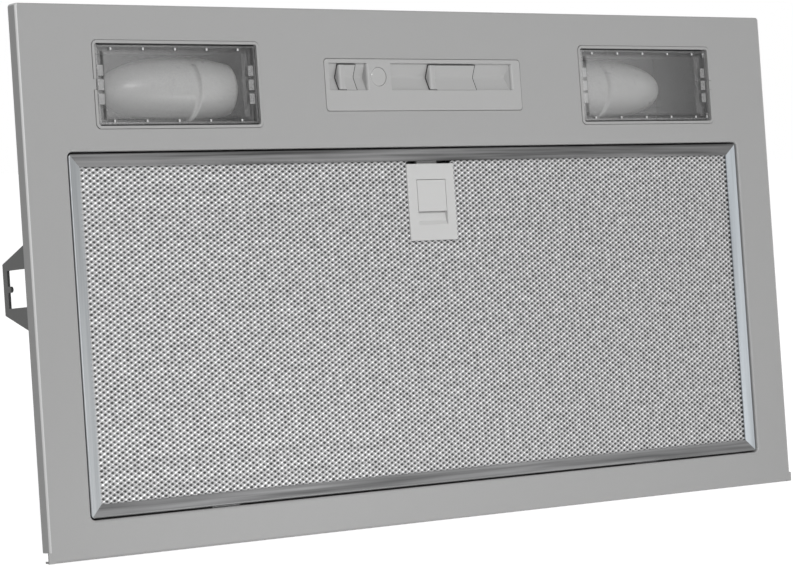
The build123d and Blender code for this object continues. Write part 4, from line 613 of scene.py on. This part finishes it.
def clear_cover(name, middle_x):
    """Clear plastic whose haze is its Alpha: a light speckle on the pan, a painted highlight on
    ribs and clips.
    """
    material, shader = new_material(name)
    tree = material.node_tree
    middle = (middle_x, 0, LAMP_MIDDLE[1])
    masks = add_node(tree, "ShaderNodeGroup", node_tree=COVER_MASKS, Middle=middle)
    grain = add_node(tree, "ShaderNodeGroup", node_tree=SURFACE_GRAIN, Scale=1500.0, Height=0.00006)
    speckle = add_node(
        tree, "ShaderNodeMapRange", From_Min=PEBBLE_RANGE[0], From_Max=PEBBLE_RANGE[1],
        To_Min=COVER_CLEAR, To_Max=COVER_SPECKLE,
    )
    haze = add_node(tree, "ShaderNodeMath", operation="ADD")
    # Painted highlight: ribs and clips turn near-opaque white.
    alpha = add_node(tree, "ShaderNodeMix")
    alpha.inputs["B"].default_value = COVER_EDGE_HIGHLIGHT
    shade = add_node(tree, "ShaderNodeMix", data_type="RGBA")
    shade.inputs["A"].default_value = PAN_WHITE
    shade.inputs["B"].default_value = EDGE_HIGHLIGHT_WHITE
    join(
        tree,
        (grain, "Mask", speckle, "Value"),
        (speckle, "Result", haze, 0),
        (masks, "Mist", haze, 1),
        (masks, "Mask", alpha, "Factor"),
        (haze, 0, alpha, "A"),
        (alpha, 0, shader, "Alpha"),
        (masks, "Mask", shade, "Factor"),
        (shade, "Result", shader, "Base Color"),
        (grain, "Normal", shader, "Normal"),
    )
    shader.inputs["Roughness"].default_value = 0.2
    return material


def turned(name, low, high, way, outline):
    """Surface of revolution about the middle line of a box along X.

    The outline gives shares of the box's length, counted from its low end when way is 1 and from
    its high end when way is -1, and shares of its radius.
    """
    share, girth = np.array(outline, float).T
    girth = np.maximum(girth, POLE_SHARE)
    centre, half = (low + high) / 2, (high - low) / 2
    angle = np.linspace(0, 2 * math.pi, TURNED_SIDES, endpoint=False)
    points = np.stack([
        centre.x + way * half.x * (2 * np.repeat(share, TURNED_SIDES) - 1),
        centre.y + half.y * np.outer(girth, np.cos(angle)).ravel(),
        centre.z + half.z * np.outer(girth, np.sin(angle)).ravel(),
    ], 1)
    ring = np.arange(TURNED_SIDES)
    following = (ring + 1) % TURNED_SIDES
    band = np.stack([ring, following, following + TURNED_SIDES, ring + TURNED_SIDES], 1)[:, ::way]
    faces = (band[None] + TURNED_SIDES * np.arange(len(share) - 1)[:, None, None]).reshape(-1, 4)
    caps = [ring[::-way].tolist(), (ring[::way] + TURNED_SIDES * (len(share) - 1)).tolist()]
    mesh = bpy.data.meshes.new(name)
    mesh.from_pydata(points.tolist(), [], faces.tolist() + caps)
    mesh.polygons.foreach_set("use_smooth", [True] * len(mesh.polygons))
    return link_mesh(name, mesh)


def bulb_outline(length):
    """Outline of the glass, from its closed end round the socket to its tip.

    It is a quarter sine up to the widest ring, and a super-ellipse from there. The widest ring
    comes twice, which keeps a faint crease between the two curves.
    """
    swell = np.linspace(0, 1, SWELL_RINGS)
    tip = np.sin(np.linspace(0, math.pi / 2, TIP_RINGS))
    widest = BULB_WIDEST / length
    rise = 1 - BULB_END_SHARE
    return [
        (0, 0),
        *((widest * t, BULB_END_SHARE + rise * math.sin(t * math.pi / 2)) for t in swell),
        *((widest + (1 - widest) * t, (1 - t ** BULB_POWER) ** (1 / BULB_POWER)) for t in tip),
    ]


lamp_paint = lamp_box_paint()
opal_glass = grainy("opal_glass", OPAL_GREY, 0.3, tone=0.02, scale=300, height=0.0)
for side, way in (("left", -1), ("right", 1)):
    dress(lamp_paint, f"lamp_housing_{side}")
    bulb_box, holder_box = (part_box(f"{node}_{side}") for node in ("bulb", "lamp_holder"))
    bulb = turned(f"opal_bulb_{side}", *bulb_box, way, bulb_outline((bulb_box[1] - bulb_box[0]).x))
    socket = turned(f"socket_{side}", *holder_box, -way, HOLDER_OUTLINE)
    for thing, node, finish, slot in (
        (bulb, "bulb", opal_glass, "frosted_glass"),
        (socket, "lamp_holder", white_moulding, "white_plastic"),
    ):
        thing.data.materials.append(finish)
        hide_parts(f"{node}_{side}")
        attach(thing, "hood")
    dress(clear_cover(f"clear_cover_{side}", way * LAMP_MIDDLE[0]), f"lamp_cover_{side}")

# ================================================================ control module
# Moulded in the panel's grey but smoother, and pressed into its window in the panel. Two saddle
# knobs slide in its V-shaped groove, and a slightly glossy round lens shows that the hood is on.
MODULE_GREY = (0.44, 0.44, 0.438)
LENS_GREY = (0.45, 0.45, 0.447)
SHADE_GREY = (0.03, 0.03, 0.03, 1)
SMOOTH_MOULDING = {"roughness": 0.42, "tone": 0.02, "scale": 1500, "height": 0.00001}
GROOVE_MIDDLE = 0.24815                     # Z of the crease of the groove
GROOVE_SLOPE = 0.437                        # of its two facets
GROOVE_SHADE = -0.0036                      # Y at the crease, past which a knob's end is in shade
SHADE_WIDTH = 0.00045                       # of the line of shade at a knob's right and top edges
LEFT_FACING = -0.6                          # X of the normal, at most, on the finger end


def knob_group():
    """Mask of a knob's lines of shade: low on the finger end, and past the given limits.

    The first follows the groove: it holds where Y plus the slope times the distance from the crease
    exceeds a limit, on surfaces that face left.
    """
    group, ends, out = new_group(
        "knob_shade",
        (("Right", "NodeSocketFloat", 0.0), ("Top", "NodeSocketFloat", 0.0)),
        (("Mask", "NodeSocketFloat"),),
    )
    place = add_node(group, "ShaderNodeTexCoord")
    axes = add_node(group, "ShaderNodeSeparateXYZ")
    facing = add_node(group, "ShaderNodeSeparateXYZ")
    from_crease = add_node(group, "ShaderNodeMath", operation="SUBTRACT")
    from_crease.inputs[1].default_value = GROOVE_MIDDLE
    distance = add_node(group, "ShaderNodeMath", operation="ABSOLUTE")
    depth = add_node(group, "ShaderNodeMath", operation="MULTIPLY_ADD")
    depth.inputs[1].default_value = GROOVE_SLOPE
    deep, left, right, top = (
        add_node(group, "ShaderNodeMath", operation=kind)
        for kind in ("GREATER_THAN", "LESS_THAN", "GREATER_THAN", "GREATER_THAN")
    )
    deep.inputs[1].default_value = GROOVE_SHADE
    left.inputs[1].default_value = LEFT_FACING
    contact = add_node(group, "ShaderNodeMath", operation="MULTIPLY")
    edges = add_node(group, "ShaderNodeMath", operation="MAXIMUM")
    lines = add_node(group, "ShaderNodeMath", operation="MAXIMUM")
    join(
        group,
        (place, "Object", axes, 0),
        (place, "Normal", facing, 0),
        (axes, "Z", from_crease, 0),
        (from_crease, 0, distance, 0),
        (distance, 0, depth, 0),
        (axes, "Y", depth, 2),
        (depth, 0, deep, 0),
        (facing, "X", left, 0),
        (axes, "X", right, 0),
        (ends, "Right", right, 1),
        (axes, "Z", top, 0),
        (ends, "Top", top, 1),
        (deep, 0, contact, 0),
        (left, 0, contact, 1),
        (right, 0, edges, 0),
        (top, 0, edges, 1),
        (contact, 0, lines, 0),
        (edges, 0, lines, 1),
        (lines, 0, out, "Mask"),
    )
    return group


KNOB_SHADE = knob_group()
module_moulding = grainy("module_moulding", MODULE_GREY, **SMOOTH_MOULDING)
for knob in ("light_slider", "speed_slider"):
    knob_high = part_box(knob)[1]
    plastic = grainy(f"{knob}_plastic", MODULE_GREY, **SMOOTH_MOULDING)
    limits = {"Right": knob_high.x - SHADE_WIDTH, "Top": knob_high.z - SHADE_WIDTH}
    paint_over(plastic, KNOB_SHADE, SHADE_GREY, **limits)
    dress(plastic, knob)
lens_moulding = grainy("lens_moulding", LENS_GREY, 0.22, tone=0.02, scale=500, height=0.0, coat=0.5)
dress(module_moulding, "control_bezel")
dress(lens_moulding, "indicator_lens")

# ================================================================ filter frame
# Folded aluminium channel in mill finish, mitred and held at the corners. Each side's colour is
# painted light: the top, which faces a little down, is darkest, the bottom lighter, the left
# lighter again and the right lightest and bluish; each carries streaks along its length.
# Painted light: each rail gets a lighter or darker copy of one metal, by how light falls on it.
RAIL_PAINTED_LIGHT = {                             # colour, spread of the streaks, stretch along the rail
    "top": ((0.125, 0.125, 0.126), 0.65, (0.025, 1, 1)),
    "bottom": ((0.195, 0.196, 0.198), 0.4, (0.025, 1, 1)),
    "left": ((0.32, 0.333, 0.343), 0.15, (1, 1, 0.025)),
    "right": ((0.42, 0.45, 0.475), 0.12, (1, 1, 0.025)),
}
for side, (colour, streaks, stretch) in RAIL_PAINTED_LIGHT.items():
    finish = grainy(
        f"rail_{side}_metal", colour, 0.38,
        metallic=0.85, tone=streaks, scale=420, stretch=stretch, contrast=2.2,
    )
    dress(finish, f"filter_rail_{side}")
    if side == "bottom":
        dress(finish, "filter_hooks")

# ================================================================ expanded mesh of the filter
# Aluminium sheet slit and stretched into small diamond holes, one on each side of a darker
# packing. The bonds where four strands meet are bumps with a painted highlight on duller strands,
# and painted shade lies round each hole.
MESH_PITCH = 0.00451                        # hole to hole along X
MESH_RISE = 0.002876                        # hole to hole along Z
HOLE_HALF = 0.17                            # of the pitch and of the rise
HOLE_SHIFT = (-0.07, -0.08)                 # of the hole from its cell's middle, in the same shares
BOND_HEIGHT = 0.0006
HALF_WAY_HEIGHT = 0.35                      # of the bond's, half way along a side of a cell
STRAND_LEAN = 0.00012
RHOMBUS_POINTS, CELL_POINTS = 8, 12         # of a cell, without and with its hole
MERGE_STEPS = 50                            # per pitch and rise, of the grid where points merge
MERGE_KEY = 1000003                         # keeps that grid's columns apart in one whole number
# By the crown attribute, the bonds get a painted highlight and the holes' edges a painted shade.
STRAND_GREY = (0.38, 0.38, 0.383, 1)
BOND_HIGHLIGHT = (0.9, 0.9, 0.91, 1)
HOLE_SHADE_GREY = (0.03, 0.03, 0.03, 1)
CORE_GREY = (0.06, 0.06, 0.06)
BOND_ROUGHNESS = (0.5, 0.3)                 # of a strand and of a bond
CROWN_JITTER_RANGE = (0.3, 0.7)                     # of the grain, over which the crown's random change runs from minus to plus the next value
CROWN_JITTER = 0.2
BOND_CROWN = (0.2, 0.75)                    # crown from strand to bond
HOLE_SHADE_CROWN = (-0.45, -1.0)                   # and from strand to the painted shade round a hole


def expanded_mesh(name, low, high, depth, toward, skip):
    """Sheet of diamond holes between two corners of the XZ plane.

    One cell is a rhombus round its hole: the rhombus' corners are the bonds, with a point half way
    along each side, and the hole is a smaller rhombus, a little off the middle. Cells sit in
    staggered rows, half a pitch and half a rise apart, so the rhombi tile the sheet. Y is the depth
    less a bump that is highest at the bonds, and the hole's upper and lower points lean apart.
    Toward is 1 on a sheet that faces the front and -1 on one that faces the back. No cell stands
    behind the latch: skip gives the half width and the lower Z of that area. Points shared by
    neighbours are merged. The crown attribute is 1 at a bond, 0 half way between bonds, a little
    more on one of the two diagonals, and -1 at the hole; it places the painted highlight at the
    bonds and the painted shade round the holes.
    """
    rows = 2 * int((high[1] - low[1]) / MESH_RISE)
    columns = int((high[0] - low[0]) / MESH_PITCH)
    row, column = np.meshgrid(np.arange(rows), np.arange(columns), indexing="ij")
    cx = (column - (columns - 1) / 2 + 0.5 * (row % 2) - 0.25) * MESH_PITCH
    cz = (row - (rows - 1) / 2) * MESH_RISE / 2
    middle_z = (low[1] + high[1]) / 2
    keep = ~((abs(cx) < skip[0]) & (cz + middle_z > skip[1]))
    cx, cz = cx[keep], cz[keep]
    across = np.array([1, 0.5, 0, -0.5, -1, -0.5, 0, 0.5]) / 2
    up = np.array([0, 0.5, 1, 0.5, 0, -0.5, -1, -0.5]) / 2
    x = np.concatenate([across, HOLE_HALF * np.array([1, 0, -1, 0])]) * MESH_PITCH
    z = np.concatenate([up, HOLE_HALF * np.array([0, 1, 0, -1])]) * MESH_RISE
    x[RHOMBUS_POINTS:] += HOLE_SHIFT[0] * MESH_PITCH
    z[RHOMBUS_POINTS:] += HOLE_SHIFT[1] * MESH_RISE
    forward = np.array([1, HALF_WAY_HEIGHT] * 4 + [0] * 4) * BOND_HEIGHT
    forward[[RHOMBUS_POINTS + 1, RHOMBUS_POINTS + 3]] += STRAND_LEAN * np.array([-1, 1])
    crown = np.array([1, 0, 1, 0.3, 1, 0, 1, 0.3, -1, -1, -1, -1])
    all_x = (cx[:, None] + x).ravel()
    all_z = (cz[:, None] + z).ravel()
    cell = []
    for corner in range(4):                 # three triangles from rhombus to hole on each side
        here, half_way, there = 2 * corner, 2 * corner + 1, (2 * corner + 2) % RHOMBUS_POINTS
        inner, inner_next = RHOMBUS_POINTS + corner, RHOMBUS_POINTS + (corner + 1) % 4
        cell += [
            (here, half_way, inner), (half_way, inner_next, inner), (half_way, there, inner_next),
        ]
    cell = np.array(cell)[:, ::toward]
    faces = (cell[None] + CELL_POINTS * np.arange(len(cx))[:, None, None]).reshape(-1, 3)
    key = np.round(all_x / MESH_PITCH * MERGE_STEPS).astype(np.int64) * MERGE_KEY
    key += np.round(all_z / MESH_RISE * MERGE_STEPS).astype(np.int64)
    _, first, back = np.unique(key, return_index=True, return_inverse=True)
    all_y = depth - toward * np.tile(forward, len(cx))
    points = np.stack([all_x, all_y, all_z + middle_z], 1)[first]
    faces = back[faces]
    mesh = bpy.data.meshes.new(name)
    mesh.vertices.add(len(points))
    mesh.vertices.foreach_set("co", points.ravel())
    mesh.loops.add(faces.size)
    mesh.loops.foreach_set("vertex_index", faces.ravel())
    mesh.polygons.add(len(faces))
    mesh.polygons.foreach_set("loop_start", np.arange(0, faces.size, 3))
    mesh.polygons.foreach_set("use_smooth", np.ones(len(faces), bool))
    attribute = mesh.attributes.new("crown", "FLOAT", "POINT")
    attribute.data.foreach_set("value", np.tile(crown, len(cx))[first])
    mesh.update(calc_edges=True)
    return link_mesh(name, mesh)


def mesh_with_painted_light():
    """Dull aluminium with a painted highlight and less roughness at a bond, and painted shade round
    a hole.
    """
    material, shader = new_material("mesh_with_painted_light")
    tree = material.node_tree
    crown = add_node(tree, "ShaderNodeAttribute", attribute_name="crown")
    grain = add_node(tree, "ShaderNodeGroup", node_tree=SURFACE_GRAIN, Scale=260.0, Height=0.00008)
    crown_jitter = add_node(
        tree, "ShaderNodeMapRange",
        From_Min=CROWN_JITTER_RANGE[0], From_Max=CROWN_JITTER_RANGE[1], To_Min=-CROWN_JITTER, To_Max=CROWN_JITTER,
    )
    jittered_crown = add_node(tree, "ShaderNodeMath", operation="ADD")
    bond_highlight = add_node(
        tree, "ShaderNodeMapRange", interpolation_type="SMOOTHSTEP",
        From_Min=BOND_CROWN[0], From_Max=BOND_CROWN[1],
    )
    shade = add_node(tree, "ShaderNodeMix", data_type="RGBA")
    shade.inputs["A"].default_value = STRAND_GREY
    shade.inputs["B"].default_value = BOND_HIGHLIGHT
    rough = add_node(tree, "ShaderNodeMapRange", To_Min=BOND_ROUGHNESS[0], To_Max=BOND_ROUGHNESS[1])
    hole_shade = add_node(tree, "ShaderNodeMapRange", From_Min=HOLE_SHADE_CROWN[0], From_Max=HOLE_SHADE_CROWN[1])
    hole_shaded = add_node(tree, "ShaderNodeMix", data_type="RGBA")
    hole_shaded.inputs["B"].default_value = HOLE_SHADE_GREY
    join(
        tree,
        (grain, "Mask", crown_jitter, "Value"),
        (crown, "Fac", jittered_crown, 0),
        (crown_jitter, "Result", jittered_crown, 1),
        (jittered_crown, 0, bond_highlight, "Value"),
        (bond_highlight, "Result", shade, "Factor"),
        (jittered_crown, 0, hole_shade, "Value"),
        (hole_shade, "Result", hole_shaded, "Factor"),
        (shade, "Result", hole_shaded, "A"),
        (hole_shaded, "Result", shader, "Base Color"),
        (bond_highlight, "Result", rough, "Value"),
        (rough, "Result", shader, "Roughness"),
        (grain, "Normal", shader, "Normal"),
    )
    shader.inputs["Metallic"].default_value = 0.6
    return material


mesh_metal = mesh_with_painted_light()
core_metal = grainy("core_metal", CORE_GREY, 0.5, metallic=0.6, tone=0.6, scale=350, contrast=1.6)
latch_low, latch_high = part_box("latch_plate")
for part, node, toward in (("front", "filter_front_mesh", 1), ("rear", "filter_rear_mesh", -1)):
    low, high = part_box(node)
    face_y = low.y if toward > 0 else high.y
    sheet = expanded_mesh(
        f"filter_{part}_sheet",
        (low.x, low.z),
        (high.x, high.z),
        face_y + toward * (BOND_HEIGHT + STRAND_LEAN),
        toward,
        (latch_high.x - MESH_PITCH / 4, latch_low.z),
    )
    sheet.data.materials.append(mesh_metal)
    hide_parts(node)
    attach(sheet, "filter")
dress(core_metal, "filter_core")

# ================================================================ filter latch
# Light grey moulded plate and sliding tab, a shade paler than the panel, clipped to the filter's
# upper edge. A coil spring of drawn wire is hidden behind the tab and shortens as the tab is
# drawn down onto it.
LATCH_GREY = (0.61, 0.61, 0.606)
SPRING_WIRE = 0.0003                        # radius
SPRING_POINT = 0.01                         # radius of the faces that close its ends, as a share
SPRING_TURNS = 6
SPRING_STEPS = 24                           # rings of the wire in one turn
SPRING_SIDES = 8


def coil_spring(name, low, high):
    """Round wire along a helix that stands upright in a box.

    At turn t the wire's middle is at (R cos t, R sin t) from the box's axis and climbs evenly with
    t. The wire's section at angle a lies along the outward radius times cos a and the upward axis
    times sin a. The first and last rings are tiny and have a face each, which closes the ends.
    """
    rings = SPRING_TURNS * SPRING_STEPS + 1
    turn = np.linspace(0, 2 * math.pi * SPRING_TURNS, rings)
    section = np.linspace(0, 2 * math.pi, SPRING_SIDES, endpoint=False)
    wire = np.full(rings, SPRING_WIRE)
    wire[[0, -1]] *= SPRING_POINT
    middle = (low + high) / 2
    coil = (high.x - low.x) / 2 - SPRING_WIRE
    out = coil + wire[:, None] * np.cos(section)
    climb = np.linspace(low.z + SPRING_WIRE, high.z - SPRING_WIRE, rings)
    points = np.stack([
        (middle.x + out * np.cos(turn)[:, None]).ravel(),
        (middle.y + out * np.sin(turn)[:, None]).ravel(),
        (climb[:, None] + wire[:, None] * np.sin(section)).ravel(),
    ], 1)
    side = np.arange(SPRING_SIDES)
    following = (side + 1) % SPRING_SIDES
    band = np.stack([side, side + SPRING_SIDES, following + SPRING_SIDES, following], 1)
    faces = (band[None] + SPRING_SIDES * np.arange(rings - 1)[:, None, None]).reshape(-1, 4)
    caps = [side.tolist(), (side[::-1] + SPRING_SIDES * (rings - 1)).tolist()]
    mesh = bpy.data.meshes.new(name)
    mesh.from_pydata(points.tolist(), [], faces.tolist() + caps)
    mesh.polygons.foreach_set("use_smooth", [True] * len(mesh.polygons))
    return link_mesh(name, mesh)


latch_moulding = grainy("latch_moulding", LATCH_GREY, **SMOOTH_MOULDING)
dress(latch_moulding, "latch_plate", "latch_tab")
spring_low, spring_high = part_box("latch_spring")
spring = coil_spring("coil_spring", spring_low, spring_high)
spring.data.materials.append(zinc_plate)
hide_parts("latch_spring")
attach(spring, "filter")
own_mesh(spring)
